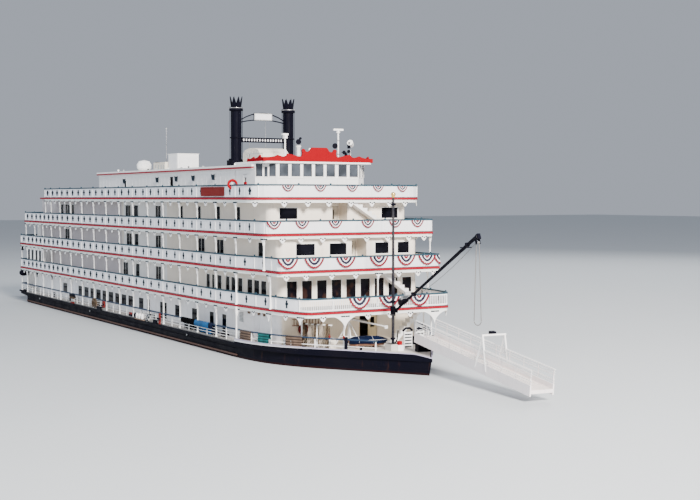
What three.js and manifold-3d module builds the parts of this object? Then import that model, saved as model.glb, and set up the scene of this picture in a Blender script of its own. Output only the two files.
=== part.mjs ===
// Sternwheel paddle boat with five decks, as a 1:10 scale model.
// Millimetres; +X towards the bow, +Y to port, +Z up; z = 0 is the flat bottom of the hull.
import * as THREE from 'three';
import { mergeVertices } from 'three/addons/utils/BufferGeometryUtils.js';
import Module from 'manifold-3d';

const wasm = await Module();
wasm.setup();

// Driving dimensions
const HALF_BEAM = 820; // half breadth of the guards and of every deck
const GAP = 0.3; // clearance between pieces that rest on each other
const SLAB = 18; // deck thickness
const WALL = 12; // house wall thickness
const HULL = { half: 790, transom: -3970, stem: 3940, bowStart: 2250, deck: 345 };
const BOW = { shoulder: 0.414, cheek: 0.5325, cheekHalf: 0.66 }; // control points, as shares of length and breadth
const MAIN_DECK = 357; // top of the planking on the hull
const HOUSE_HALF = 670; // half breadth of the cabin walls
const RAIL = { height: 105, inset: 10, thickness: 8 };
const COLUMN = { width: 13, inset: 18, aft: -3900, aftPitch: 345, aftBays: 4, pitch: 398, bays: 12 };
const ROOF = 1832; // top of the upper house roof

// Decks: name, top z, x of the front edge, x of the stern edge, length of the front corner,
// half length of the flat front, taper of the sides into the corner
const DECKS = [
  ['deck_2', 665, 3245, -4170, 1240, 630, 55],
  ['deck_3', 970, 2965, -4170, 690, 755, 82],
  ['deck_4', 1260, 2817, -3960, 115, 775, 0],
  ['deck_5', 1550, 2705, -3110, 260, 560, 0],
].map(([name, top, front, stern, corner, flat, taper]) => ({ name, top, front, stern, corner, flat, taper }));

const WHEEL = { x: -4570, z: 490, radius: 370, half: 480, hub: 34, buckets: 12 };
const TIMBER = { inner: 560, outer: 600, from: -3970.3, to: -4950, bottom: 260, top: 345 };
const STACK = { x: 1150, y: 272, radius: 50, foot: ROOF, collar: 2368, crown: 2485 };
const POLE = { x: 3410, radius: 9, foot: MAIN_DECK, top: 1590 };
const BOOM = { z: 672, length: 1450, elevation: 25.1, heading: -8 };
const STAGE = { x: 3585, y: 165, z: 468, length: 1690, width: 175, slope: -6, heading: -7 };

// Geometry helpers
function toSolid(geometry) {
  const source = geometry.index ? geometry.toNonIndexed() : geometry;
  const bare = new THREE.BufferGeometry();
  bare.setAttribute('position', source.getAttribute('position').clone());
  const welded = mergeVertices(bare, 1e-3);
  const index = [];
  for (let i = 0; i < welded.index.count; i += 3) {
    const [a, b, c] = [0, 1, 2].map((k) => welded.index.getX(i + k));
    if (a !== b && b !== c && a !== c) index.push(a, b, c);
  }
  const mesh = new wasm.Mesh({
    numProp: 3,
    vertProperties: new Float32Array(welded.getAttribute('position').array),
    triVerts: new Uint32Array(index),
  });
  return new wasm.Manifold(mesh);
}
const join = (...parts) => parts.flat().reduce((all, part) => all.add(part));
const cut = (whole, ...tools) => tools.flat().reduce((rest, tool) => rest.subtract(tool), whole);

function box(x0, x1, y0, y1, z0, z1) {
  const size = new THREE.BoxGeometry(x1 - x0, y1 - y0, z1 - z0);
  return toSolid(size.translate((x0 + x1) / 2, (y0 + y1) / 2, (z0 + z1) / 2));
}
function prism(shape, z0, z1, curveSegments = 10) {
  const solid = new THREE.ExtrudeGeometry(shape, { depth: z1 - z0, bevelEnabled: false, curveSegments });
  return toSolid(solid.translate(0, 0, z0));
}
// A side or front profile (first coordinate across, second up) extruded along Y or X
function alongY(shape, y0, y1, curveSegments = 8) {
  const solid = new THREE.ExtrudeGeometry(shape, { depth: y1 - y0, bevelEnabled: false, curveSegments });
  return toSolid(solid.rotateX(Math.PI / 2).translate(0, y1, 0));
}
function alongX(shape, x0, x1, curveSegments = 8) {
  const solid = new THREE.ExtrudeGeometry(shape, { depth: x1 - x0, bevelEnabled: false, curveSegments });
  return toSolid(solid.rotateX(Math.PI / 2).rotateZ(Math.PI / 2).translate(x0, 0, 0));
}
// A straight round bar between two points
function rod(from, to, radius, sides = 8) {
  const [a, b] = [new THREE.Vector3(...from), new THREE.Vector3(...to)];
  const bar = new THREE.CylinderGeometry(radius, radius, a.distanceTo(b), sides);
  const turn = new THREE.Quaternion().setFromUnitVectors(new THREE.Vector3(0, 1, 0), b.clone().sub(a).normalize());
  return toSolid(bar.applyQuaternion(turn).translate(...a.add(b).multiplyScalar(0.5).toArray()));
}
// A turned piece about a vertical line: profile rows are radius, z
function turned(x, y, profile, sides = 16) {
  const lathe = new THREE.LatheGeometry(profile.map(([r, z]) => new THREE.Vector2(r, z)), sides);
  return toSolid(lathe.rotateX(Math.PI / 2).translate(x, y, 0));
}
const polygon = (points) => new THREE.Shape(points.map(([a, b]) => new THREE.Vector2(a, b)));

// Outline of a deck, moved inwards by inset
function deckShape({ front, stern, corner, flat, taper }, inset = 0) {
  const half = HALF_BEAM - inset;
  const tip = front - inset;
  const start = front - corner;
  const edge = flat - inset * 0.3;
  const knee = edge + 0.565 * (half - edge);
  const shape = new THREE.Shape();
  shape.moveTo(stern + inset, -half);
  shape.lineTo(start, -half);
  shape.bezierCurveTo(start + 0.63 * corner, -half + taper, tip - 0.02 * corner, -knee, tip, -edge);
  shape.lineTo(tip, edge);
  shape.bezierCurveTo(tip - 0.02 * corner, knee, start + 0.63 * corner, half - taper, start, half);
  shape.lineTo(stern + inset, half);
  shape.closePath();
  return shape;
}
const ring = (outline, outer, inner, z0, z1, segments) =>
  cut(prism(outline(outer), z0, z1, segments), prism(outline(inner), z0 - 1, z1 + 1, segments));

// Outline of the hull: straight sides, full shoulders, then nearly straight lines to the stem
function hullPoints({ half, stern, stem }, steps = 14) {
  const at = (share, y) => new THREE.Vector2(HULL.bowStart + share * (stem - HULL.bowStart), y);
  const bow = new THREE.CubicBezierCurve(at(0, -half), at(BOW.shoulder, -half), at(BOW.cheek, -BOW.cheekHalf * half), at(1, 0));
  const points = bow.getPoints(steps).map(({ x, y }) => [x, y]);
  const port = points.slice(0, -1).reverse().map(([x, y]) => [x, -y]);
  return [[stern, -half], ...points, ...port, [stern, half]];
}
const guardLine = (inset) => hullPoints({
  half: HALF_BEAM - inset, stern: HULL.transom + inset, stem: HULL.stem + 10 - 1.8 * inset,
});
const hullShape = (inset) => polygon(guardLine(inset));

// A body through stacked outlines with equal counts of points
function loft(levels) {
  const count = levels[0].points.length;
  const vertices = levels.flatMap(({ z, points }) => points.flatMap(([x, y]) => [x, y, z]));
  const index = [];
  for (let l = 0; l + 1 < levels.length; l++) {
    for (let i = 0; i < count; i++) {
      const [a, b] = [l * count + i, l * count + (i + 1) % count];
      index.push(a, b, b + count, a, b + count, a + count);
    }
  }
  const top = (levels.length - 1) * count;
  for (let i = 1; i + 1 < count; i++) {
    index.push(0, i + 1, i, top, top + i, top + i + 1);
  }
  const geometry = new THREE.BufferGeometry();
  geometry.setAttribute('position', new THREE.Float32BufferAttribute(vertices, 3));
  geometry.setIndex(index);
  return toSolid(geometry);
}

const boat = new THREE.Group();
function add(name, solid, colour, roughness = 0.6, metalness = 0, parent = boat) {
  const { vertProperties, triVerts } = solid.getMesh();
  const geometry = new THREE.BufferGeometry();
  geometry.setAttribute('position', new THREE.BufferAttribute(new Float32Array(vertProperties), 3));
  geometry.setIndex(new THREE.BufferAttribute(new Uint32Array(triVerts), 1));
  geometry.computeVertexNormals();
  const material = new THREE.MeshStandardMaterial({ color: colour, roughness, metalness });
  const mesh = new THREE.Mesh(geometry, material);
  mesh.name = name;
  parent.add(mesh);
  return mesh;
}
const WHITE = 0xf2f1ec;
const RED = 0xc8202c;
const BLACK = 0x1c1e26;
const DECK_GREY = 0xb9b4a8;
const CABIN = 0xe9e2d6;

// Hull: flat bottom, raked ends under water, guard strake and a raised coaming round the bow
const HULL_LEVELS = [
  // z, half breadth, transom x, stem x
  [0, 700, -3500, 3560],
  [50, 765, -3740, 3730],
  [140, 788, HULL.transom, 3890],
  [325, HULL.half, HULL.transom, HULL.stem],
];
const hullBody = loft(HULL_LEVELS.map(([z, half, stern, stem]) => ({ z, points: hullPoints({ half, stern, stem }) })));
const coaming = cut(
  ring(hullShape, 0, 10, HULL.deck + GAP, HULL.deck + 36),
  box(-4200, HULL.bowStart, -900, 900, HULL.deck - 2, HULL.deck + 40),
  alongY(polygon([[3840, HULL.deck + 37], [3840, HULL.deck + 36], [3970, HULL.deck + 6], [3970, HULL.deck + 37]]), -300, 300),
);
const RUDDER = { x: -4020, ys: [-280, 0, 280], stock: 8 };
const gudgeons = RUDDER.ys.map((y) => cut(box(RUDDER.x - 20, HULL.transom + 5, y - 15, y + 15, 226, 246),
  rod([RUDDER.x, y, 200], [RUDDER.x, y, 270], RUDDER.stock + 1, 20)));
add('hull', join(hullBody, prism(hullShape(0), 324, HULL.deck), gudgeons), BLACK, 0.5);
add('bow_coaming', coaming, BLACK, 0.5);
add('main_deck', prism(hullShape(16), HULL.deck + GAP, MAIN_DECK), DECK_GREY, 0.8);

// Decks: flat slabs whose edges carry the red stripe
const STAIRS = [
  // name, floor z, head z, x centre, y of the foot, y of the head
  ['stair_1', MAIN_DECK, 665, 2930, 300, 580],
  ['stair_2', 665, 970, 2825, 640, 250],
  ['stair_4', 1260, 1550, 2638, 490, 80],
];
const STAIR_WIDTH = 72;
const wells = Object.fromEntries(STAIRS.map(([, , head, x, foot, top]) => {
  const [y0, y1] = foot < top ? [top - 170, top + 12] : [top - 12, top + 190];
  return [head, box(x - STAIR_WIDTH / 2 - 6, x + STAIR_WIDTH / 2 + 6, y0, y1, head - 40, head + 10)];
}));
for (const deck of DECKS) {
  let slab = prism(deckShape(deck), deck.top - SLAB, deck.top);
  if (deck.name === 'deck_5') slab = slab.add(box(-3710, deck.stern + 10, -690, 690, deck.top - SLAB, deck.top));
  add(deck.name, wells[deck.top] ? cut(slab, wells[deck.top]) : slab, RED, 0.6);
}
for (const [name, floor, head, x, foot, top] of STAIRS) {
  const [steps, base] = [9, floor + GAP];
  const [run, rise] = [(top - foot) / steps, (head - base) / (steps + 1)];
  const profile = [[foot, base]];
  for (let i = 0; i < steps; i++) profile.push([foot + i * run, base + (i + 1) * rise], [foot + (i + 1) * run, base + (i + 1) * rise]);
  profile.push([top, head - rise - 26], [foot + Math.sign(run) * 30, base]);
  add(name, alongX(polygon(foot < top ? profile.reverse() : profile), x - STAIR_WIDTH / 2, x + STAIR_WIDTH / 2), WHITE, 0.7);
}

// Houses: rings of wall with the larger windows and doorways cut through
const ROOMS = [
  // name, floor z, ceiling z, aft x, front x, corner radius
  ['house_1', MAIN_DECK, 665, -3800, 2760, 60],
  ['house_2', 665, 970, -4040, 2765, 60],
  ['house_3', 970, 1260, -3900, 2760, 60],
  ['house_4', 1260, 1550, -3680, 2590, 60],
];
function roomShape(aft, front, half, radius, inset) {
  const [h, x, r] = [half - inset, front - inset, radius];
  const shape = new THREE.Shape();
  shape.moveTo(aft + inset, -h);
  shape.lineTo(x - r, -h);
  shape.absarc(x - r, -h + r, r, -Math.PI / 2, 0, false);
  shape.absarc(x - r, h - r, r, 0, Math.PI / 2, false);
  shape.lineTo(aft + inset, h);
  shape.closePath();
  return shape;
}
const DOORWAY = { y0: 85, y1: 262, height: 225 };
// Cut openings: house, wall, sill above the floor, height, then pairs of centre and width
const CUTS = [
  ['house_2', 'front', 50, 162, [-552, 92], [-414, 92], [-276, 92], [-138, 92], [0, 92], [138, 92], [276, 92], [414, 92], [552, 92]],
  ['house_3', 'front', 113, 93, [-425, 173], [-120, 160], [305, 135], [520, 115]],
  ['house_4', 'front', 115, 90, [-490, 165], [490, 165]],
  ['house_2', 'side', 50, 153, [1401, 72], [1508, 46], [1641, 84], [1812, 76], [1928, 80], [2061, 88], [2248, 95], [2375, 98], [2505, 98]],
  ['house_3', 'side', 3, 208, [1246, 160], [1646, 172], [2453, 88]],
  ['house_4', 'side', 3, 208, [772, 60], [1179, 78], [1588, 84], [2012, 70]],
];
// Recesses with a doorway at the back in the front walls: house, y0, y1, depth
const RECESSES = [
  ['house_3', 12, 155, 150],
  ['house_4', -75, 70, 140],
];
const RECESS_DOOR = 215; // height of those doorways
const STERN_DOORWAY = { house: 'house_4', half: 65 };
for (const [name, floor, ceiling, aft, front, radius] of ROOMS) {
  const outline = (inset) => roomShape(aft, front, HOUSE_HALF, radius, inset);
  const [z0, z1] = [floor + GAP, ceiling - SLAB - GAP];
  let walls = ring(outline, 0, WALL, z0, z1);
  const holes = [];
  for (const [, y0, y1, depth] of RECESSES.filter((row) => row[0] === name)) {
    const shell = box(front - depth - WALL, front - 1, y0 - WALL, y1 + WALL, z0, z1);
    walls = cut(join(walls, shell), box(front - depth, front + 5, y0, y1, z0 - 1, z1 + 1));
    holes.push(box(front - depth - WALL - 5, front - depth + 5, y0 + 16, y1 - 14, floor - 1, floor + RECESS_DOOR));
  }
  for (const [, wall, sill, height, ...places] of CUTS.filter((row) => row[0] === name)) {
    for (const [centre, width] of places) {
      const [a, b, z] = [centre - width / 2, centre + width / 2, floor + sill];
      if (wall === 'front') holes.push(box(front - 30, front + 10, a, b, z, z + height));
      else for (const y of [-HOUSE_HALF, HOUSE_HALF]) holes.push(box(a, b, y - 20, y + 20, z, z + height));
    }
  }
  if (name === 'house_1') holes.push(box(front - 30, front + 10, DOORWAY.y0, DOORWAY.y1, floor - 1, floor + DOORWAY.height));
  if (name === STERN_DOORWAY.house) {
    holes.push(box(aft - 10, aft + 30, -STERN_DOORWAY.half, STERN_DOORWAY.half, floor - 1, floor + RECESS_DOOR));
  }
  add(name, cut(walls, holes), CABIN, 0.7);
}

// Galleries: header under the deck above, columns, and the rail of the deck they stand on.
// Columns past the regular bays: places along the corner curve (both sides), then y of those on the front
const FRONT_COLUMNS = {
  deck_2: { corner: [], front: [-320] },
  deck_3: { corner: [0.53], front: [150] },
  deck_4: { corner: [0.33], front: [] },
  deck_5: { corner: [], front: [] },
};
// Columns on the narrowing main deck, each with a beam out to the header: x, y, y of the beam's end
const BOW_COLUMNS = [
  [2690, 700, 752],
  [2985, 580, 690],
];
function columnPoints(deck, inset, frontInset) {
  const half = HALF_BEAM - inset;
  const aft = deck.stern + inset;
  const middle = COLUMN.aft + COLUMN.aftBays * COLUMN.aftPitch;
  const xs = [aft];
  for (let i = 0; i < COLUMN.aftBays; i++) xs.push(COLUMN.aft + i * COLUMN.aftPitch);
  for (let i = 0; i <= COLUMN.bays; i++) xs.push(middle + i * COLUMN.pitch);
  const points = xs.filter((x) => x === aft || x > aft + 150).map((x) => [x, half]);
  const curve = deckShape(deck, frontInset).curves[1];
  const { corner, front } = FRONT_COLUMNS[deck.name];
  for (const t of corner) points.push([curve.getPoint(t).x, -curve.getPoint(t).y]);
  return [...points.flatMap(([x, y]) => [[x, y], [x, -y]]), ...front.map((y) => [deck.front - frontInset, y])];
}
function columns(deck, z0, z1, frontInset = COLUMN.inset) {
  const w = COLUMN.width / 2;
  return columnPoints(deck, COLUMN.inset, frontInset).map(([x, y]) => box(x - w, x + w, y - w, y + w, z0, z1));
}
function header(deck, depth = 16) {
  const outline = (at) => deckShape(deck, at);
  return ring(outline, 6, 6 + depth, deck.top - SLAB - 30, deck.top - SLAB - GAP, 8);
}
function panels(deck) {
  const outline = (at) => deckShape(deck, at);
  return ring(outline, RAIL.inset, RAIL.inset + RAIL.thickness, deck.top + GAP, deck.top + RAIL.height, 8);
}
const [deck2, deck3, deck4, deck5] = DECKS;
const mainRail = [52, 103].map((z) => cut(
  ring((inset) => deckShape(deck2, inset), COLUMN.inset - 3, COLUMN.inset + 3, MAIN_DECK + z - 5, MAIN_DECK + z, 6),
  box(2270, 3400, -900, 900, MAIN_DECK, MAIN_DECK + 120),
));
const underside = (deck) => deck.top - SLAB - 10;
const bowColumns = BOW_COLUMNS.flatMap(([x, y, end]) => [-1, 1].flatMap((s) => {
  const [w, top] = [COLUMN.width / 2, underside(deck2)];
  const [y0, y1] = s > 0 ? [y - w, end] : [-end, w - y];
  return [box(x - w, x + w, s * y - w, s * y + w, MAIN_DECK + GAP, top), box(x - w, x + w, y0, y1, top - 20, top)];
}));
add('gallery_1', join(header(deck2, 52), columns(deck2, MAIN_DECK + GAP, underside(deck2), 48), bowColumns, mainRail), WHITE);
add('gallery_2', join(header(deck3), columns(deck3, deck2.top + GAP, underside(deck3)), panels(deck2)), WHITE);
add('gallery_3', join(header(deck4), columns(deck4, deck3.top + GAP, underside(deck4)), panels(deck3)), WHITE);
const sternOpening = box(deck5.stern - 10, deck5.stern + 60, -700, 700, 1490, 1550);
add('gallery_4', join(cut(header(deck5), sternOpening), columns(deck5, deck4.top + GAP, underside(deck5)),
  panels(deck4)), WHITE);
add('rail_5', panels(deck5), WHITE);

// Upper house with the chamfered pilothouse front
const TEXAS = { aft: -1900, front: 1690, half: 540, top: 1796 };
const PILOT = { aft: 1700, front: 2225, half: 540, chamfer: 142, flat: 400, top: 1843 };
const texasShape = (inset) => roomShape(TEXAS.aft, TEXAS.front, TEXAS.half, 2, inset);
const TEXAS_DOOR = { x0: 195, x1: 275, height: 205 };
const texasHoles = [-1, 1].map((s) =>
  box(TEXAS_DOOR.x0, TEXAS_DOOR.x1, s * TEXAS.half - 20, s * TEXAS.half + 20, deck5.top - 1, deck5.top + TEXAS_DOOR.height));
add('texas_house', cut(ring(texasShape, 0, WALL, deck5.top + GAP, TEXAS.top), texasHoles), WHITE, 0.7);

// The roof's striped edge runs on as a fringe along the sides of the pilothouse
add('texas_roof', cut(prism(roomShape(TEXAS.aft - 20, 2060, TEXAS.half + 22, 2, 0), TEXAS.top + GAP, ROOF),
  box(PILOT.aft - 2, 2100, -PILOT.half - GAP, PILOT.half + GAP, TEXAS.top, ROOF + 1)), RED);

function pilotShape(inset) {
  const { aft, front, half, chamfer, flat } = PILOT;
  const d = inset * 0.42;
  return polygon([
    [aft + inset, -half + inset], [front - chamfer - d, -half + inset], [front - inset, -flat + d],
    [front - inset, flat - d], [front - chamfer - d, half - inset], [aft + inset, half - inset],
  ]);
}
const PILOT_GLASS = { sill: 1730, head: 1839, width: 86, centres: [-340, -225, -111, 4, 118, 237, 350] };
const pilotHoles = PILOT_GLASS.centres.map((y) =>
  box(PILOT.front - 30, PILOT.front + 10, y - PILOT_GLASS.width / 2, y + PILOT_GLASS.width / 2, PILOT_GLASS.sill, PILOT_GLASS.head));
for (const s of [-1, 1]) {
  for (const along of [-62, 58]) {
    const pane = new THREE.BoxGeometry(60, 60, PILOT_GLASS.head - PILOT_GLASS.sill);
    pane.translate(along, 0, 0).rotateZ(-s * Math.PI / 4);
    const middle = [PILOT.front - PILOT.chamfer / 2, s * (PILOT.flat + PILOT.half) / 2];
    pilotHoles.push(toSolid(pane.translate(...middle, (PILOT_GLASS.sill + PILOT_GLASS.head) / 2)));
  }
}
const PILOT_DOOR = { x0: 1850, x1: 1930, height: 200 };
pilotHoles.push(box(PILOT_DOOR.x0, PILOT_DOOR.x1, -PILOT.half - 20, -PILOT.half + 20, deck5.top - 1, deck5.top + PILOT_DOOR.height));
add('pilothouse', cut(ring(pilotShape, 0, WALL, deck5.top + GAP, PILOT.top), pilotHoles), WHITE, 0.6);
const PILOT_ROOF = { aft: 1700, front: 2245, half: 545, top: 1857 };
add('pilothouse_roof', prism(roomShape(PILOT_ROOF.aft, PILOT_ROOF.front, PILOT_ROOF.half, 60, 0), PILOT.top + GAP, PILOT_ROOF.top), WHITE);

// Red crest standing on the front edge of the pilothouse roof, with returns along its sides.
// Half outline from the middle outwards: y, height above the roof
const CREST = [[0, 122], [70, 122], [84, 112], [96, 92], [114, 84], [134, 88], [142, 104], [158, 110], [172, 98], [166, 74],
  [172, 46], [205, 44], [262, 58], [308, 66], [322, 48], [344, 40], [372, 44], [402, 54], [432, 42], [470, 36], [512, 34], [540, 34]];
const CREST_SIDE = [[1925, 6], [1935, 30], [1985, 22], [2050, 40], [2066, 24], [2130, 34], [2170, 56], [2184, 34], [2230, 34]];
const crestBase = PILOT_ROOF.top + GAP;
const crestEdge = CREST.map(([y, h]) => [y, crestBase + h]);
const crestFront = polygon([[-540, crestBase], [540, crestBase], ...crestEdge.slice(1).reverse(),
  ...crestEdge.map(([y, z]) => [-y, z])]);
const crestSide = polygon([[1915, crestBase], [2230, crestBase], ...CREST_SIDE.map(([x, h]) => [x, crestBase + h]).reverse()]);
add('crest', join(alongX(crestFront, 2226, 2240), alongY(crestSide, -540, -528), alongY(crestSide, 528, 540)), RED, 0.55);

// Stacks with square feet, collars and crowns of leaves
function stack(y) {
  const { x, radius: r, foot, collar, crown } = STACK;
  const wall = turned(x, y, [[0, foot + GAP + 60], [r + 8, foot + GAP + 60], [r, foot + 80], [r, collar - 12],
    [r + 14, collar - 8], [r + 16, collar + 10], [r + 8, collar + 20], [0, collar + 20]], 18);
  const base = box(x - 66, x + 66, y - 66, y + 66, foot + GAP, foot + 64);
  const leaves = [];
  for (let i = 0; i < 8; i++) {
    const blade = polygon([[-21, 0], [21, 0], [17, 40], [0, crown - collar - 14], [-17, 40]]);
    const leaf = new THREE.ExtrudeGeometry(blade, { depth: 6, bevelEnabled: false });
    leaf.rotateX(Math.PI / 2).rotateX(-0.2).translate(0, r - 8, 0).rotateZ((i * Math.PI) / 4).translate(x, y, collar + 14);
    leaves.push(toSolid(leaf));
  }
  const bore = turned(x, y, [[0, collar - 120], [r - 12, collar - 120], [r - 12, collar + 40], [0, collar + 40]], 16);
  return join(cut(join(wall, base), bore), leaves);
}
add('stack_starboard', stack(-STACK.y), BLACK, 0.45, 0.2);
add('stack_port', stack(STACK.y), BLACK, 0.45, 0.2);

// Arched bridge with a plain panel, and a ladder-like board below it, between the stacks
function archShape(z, rise, depth) {
  const half = STACK.y - STACK.radius - GAP;
  const shape = new THREE.Shape();
  shape.moveTo(-half, z);
  shape.quadraticCurveTo(0, z + 2 * rise, half, z);
  shape.lineTo(half, z + depth);
  shape.quadraticCurveTo(0, z + depth + 2 * rise, -half, z + depth);
  shape.closePath();
  return shape;
}
const { x: stackX } = STACK;
add('stack_arch', join(alongX(archShape(2246, 26, 10), stackX - 5, stackX + 5),
  alongX(archShape(2270, 64, 10), stackX - 5, stackX + 5), box(stackX - 6, stackX + 6, -90, 100, 2270, 2340)), BLACK, 0.5, 0.2);
const boardHalf = STACK.y - STACK.radius - GAP;
add('stack_board', join(box(stackX - 4, stackX + 4, -boardHalf, boardHalf, 2064, 2072),
  box(stackX - 4, stackX + 4, -boardHalf, boardHalf, 2102, 2110),
  box(stackX - 2, stackX + 2, -boardHalf + 3, boardHalf - 3, 2068, 2106)), BLACK, 0.5, 0.2);

// Deckhouse and gear on the roof
const ROOF_BOXES = [
  // name, x0, x1, y0, y1, height, colour
  ['roof_unit_aft', -845, -590, -130, 110, 180, 0xe8e6df],
];
for (const [name, x0, x1, y0, y1, height, colour] of ROOF_BOXES) {
  add(name, box(x0, x1, y0, y1, ROOF + GAP, ROOF + GAP + height), colour, 0.7);
}
const vault = polygon([[1300, ROOF + GAP], [1640, ROOF + GAP], [1640, ROOF + 116], [1600, ROOF + 150], [1520, ROOF + 164],
  [1420, ROOF + 164], [1340, ROOF + 150], [1300, ROOF + 116]]);
add('roof_locker', alongY(vault, -275, 15), 0xd8d0c0, 0.7);
add('radome', turned(-1745, -60, [[0, ROOF + GAP], [50, ROOF + GAP], [50, ROOF + 26], [80, ROOF + 50], [84, ROOF + 92],
  [60, ROOF + 132], [0, ROOF + 148]], 20), WHITE, 0.4);
const roofTop = PILOT_ROOF.top + GAP;
add('radar_mast', turned(2110, 262, [[0, roofTop], [22, roofTop], [22, roofTop + 8], [7, roofTop + 8], [7, 2118], [18, 2121],
  [18, 2131], [0, 2131]], 12), WHITE, 0.4);
add('radar_scanner', join(rod([2110, 262, 2131 + GAP], [2110, 262, 2143], 8), box(2101, 2119, 214, 310, 2139, 2155)), 0xdedede, 0.4);
const LIGHTS = [
  // name, x, y, height, head radius, colour
  ['searchlight_1', 2100, -130, 160, 24, BLACK],
];
for (const [name, x, y, height, r, colour] of LIGHTS) {
  const z = roofTop + height;
  const post = turned(x, y, [[0, roofTop], [18, roofTop], [18, roofTop + 6], [10, roofTop + 8], [9, z], [0, z]], 10);
  add(name, join(post, rod([x - 22, y, z + 12], [x + 26, y, z + 12], r, 14)), colour, 0.4, 0.2);
}

// Bow pole with its ball, and the cargo boom on a slewing collar
const poleBase = box(POLE.x - 45, POLE.x + 45, -45, 45, MAIN_DECK + GAP, MAIN_DECK + 52);
add('bow_pole', join(poleBase, turned(POLE.x, 0, [[0, MAIN_DECK + 10], [POLE.radius + 3, MAIN_DECK + 10], [POLE.radius + 2, 900],
  [POLE.radius, 1545], [0, 1550]], 14), turned(POLE.x, 0, [[0, 1540], [8, 1548], [15, 1562], [15, 1572], [8, 1586], [0, POLE.top]], 14),
  turned(POLE.x, 0, [[0, BOOM.z - 44], [20, BOOM.z - 44], [20, BOOM.z - 30 - GAP], [0, BOOM.z - 30 - GAP]], 14)), BLACK, 0.4, 0.2);
const boomTurn = new THREE.Group();
boomTurn.position.set(POLE.x, 0, BOOM.z);
boomTurn.rotation.z = THREE.MathUtils.degToRad(BOOM.heading);
boat.add(boomTurn);
const sleeve = cut(join(rod([0, 0, -30], [0, 0, 30], 21, 16), box(18, 60, -14, 14, -18, 18)),
  rod([0, 0, -40], [0, 0, 40], POLE.radius + 4, 20), box(33, 70, -8.5, 8.5, -30, 30));
add('boom_collar', join(sleeve, rod([46, -14, 0], [46, 14, 0], 4, 16)), BLACK, 0.4, 0.3, boomTurn);
const boomArm = new THREE.Group();
boomArm.position.set(46, 0, 0);
boomArm.rotation.y = -THREE.MathUtils.degToRad(BOOM.elevation);
boomTurn.add(boomArm);
const arm = join(
  toSolid(new THREE.CylinderGeometry(7, 10, BOOM.length - 36, 10).rotateZ(-Math.PI / 2).translate(BOOM.length / 2 + 18, 0, 0)),
  box(-8, 44, -7.5, 7.5, -8, 8),
  rod([BOOM.length * 0.87, -45, 0], [BOOM.length * 0.87, 45, 0], 4),
  box(BOOM.length - 12, BOOM.length + 18, -12, 12, -22, 16),
  box(120, 210, -26, 26, 2, 42),
);
add('boom', cut(arm, rod([0, -20, 0], [0, 20, 0], 5, 20)), BLACK, 0.45, 0.2, boomArm);

// Landing stage hinged at its heel on the foredeck
const stagePivot = new THREE.Group();
stagePivot.position.set(STAGE.x, STAGE.y, STAGE.z);
stagePivot.rotation.z = THREE.MathUtils.degToRad(STAGE.heading);
boat.add(stagePivot);
const half = STAGE.width / 2;
add('stage_heel', join(box(-30, 30, -56, 56, MAIN_DECK + GAP - STAGE.z, -40), box(-14, 14, -half, half, -52, -38),
  box(-14, 14, -half, -half + 12, -40, 10),
  box(-14, 14, half - 12, half, -40, 10), rod([0, -half, 0], [0, half, 0], 5, 16)), BLACK, 0.5, 0.3, stagePivot);
const stageTilt = new THREE.Group();
stageTilt.rotation.y = -THREE.MathUtils.degToRad(STAGE.slope);
stagePivot.add(stageTilt);
// An open railing as one plate: posts and bars left between rectangular openings
function fence(x0, x1, y0, y1, z0, z1, bays, rows, bar) {
  const holes = [];
  const [w, h] = [(x1 - x0 - bar) / bays, (z1 - z0 - bar) / rows];
  for (let i = 0; i < bays; i++) {
    for (let j = 0; j < rows; j++) {
      const [x, z] = [x0 + i * w + bar, z0 + j * h + bar];
      holes.push(box(x, x + w - bar, y0 - 1, y1 + 1, z, z + h - bar));
    }
  }
  return cut(box(x0, x1, y0, y1, z0, z1), holes);
}
const stageParts = [box(-8, 40, -half + 14, half - 14, -10, 8), box(30, STAGE.length, -half, half, -12, 10)];
for (const s of [-1, 1]) stageParts.push(box(30, STAGE.length, s * half - 5, s * half + 5, -28, 44));
for (const s of [-1, 1]) {
  stageParts.push(fence(34, STAGE.length - 4, s * half - 3, s * half + 3, 38, 142, 9, 3, 4));
  for (const x of [975, 1125]) stageParts.push(rod([x, s * (half + 2), 0], [1050, s * half, 240], 5, 5));
}
stageParts.push(rod([1050, -half - 6, 240], [1050, half + 6, 240], 6, 8));
add('stage', cut(join(stageParts), rod([0, -half, 0], [0, half, 0], 6, 20)), 0xd9cfc8, 0.6, 0.1, stageTilt);

// Paddle wheel on the timbers behind the transom
function wheelFrame(y) {
  const { radius: R, hub, buckets } = WHEEL;
  const ray = (r, a) => [r * Math.cos(a), r * Math.sin(a)];
  const step = (2 * Math.PI) / buckets;
  const plate = alongY(polygon(Array.from({ length: buckets }, (_, i) => ray(R - 8, (i + 0.5) * step))), y - 5, y + 5);
  const holes = [];
  for (let i = 0; i < buckets; i++) {
    const a = i * step + step / 2;
    for (const [r0, r1] of [[hub + 14, R - 82], [R - 68, R - 24]]) {
      const [d0, d1] = [7 / r0, 7 / r1];
      const wedge = polygon([ray(r0, a + d0), ray(r1, a + d1), ray(r1, a + step - d1), ray(r0, a + step - d0)]);
      holes.push(alongY(wedge, y - 6, y + 6));
    }
  }
  return cut(plate, holes);
}
function wheelSolid() {
  const { radius: R, half: w, hub, buckets } = WHEEL;
  const frames = [-w + 8, 0, w - 8];
  const parts = [rod([0, -w - 112, 0], [0, w + 112, 0], 16, 12), rod([0, -w, 0], [0, w, 0], hub - 6, 12), frames.map(wheelFrame)].flat();
  for (let i = 0; i < buckets; i++) {
    const board = new THREE.BoxGeometry(6, 2 * w, 56).translate(0, 0, R - 28);
    parts.push(toSolid(board.rotateY(Math.PI / 2 - ((i + 0.5) * 2 * Math.PI) / buckets)));
  }
  return join(parts);
}
const wheelGroup = new THREE.Group();
wheelGroup.position.set(WHEEL.x, 0, WHEEL.z);
boat.add(wheelGroup);
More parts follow.
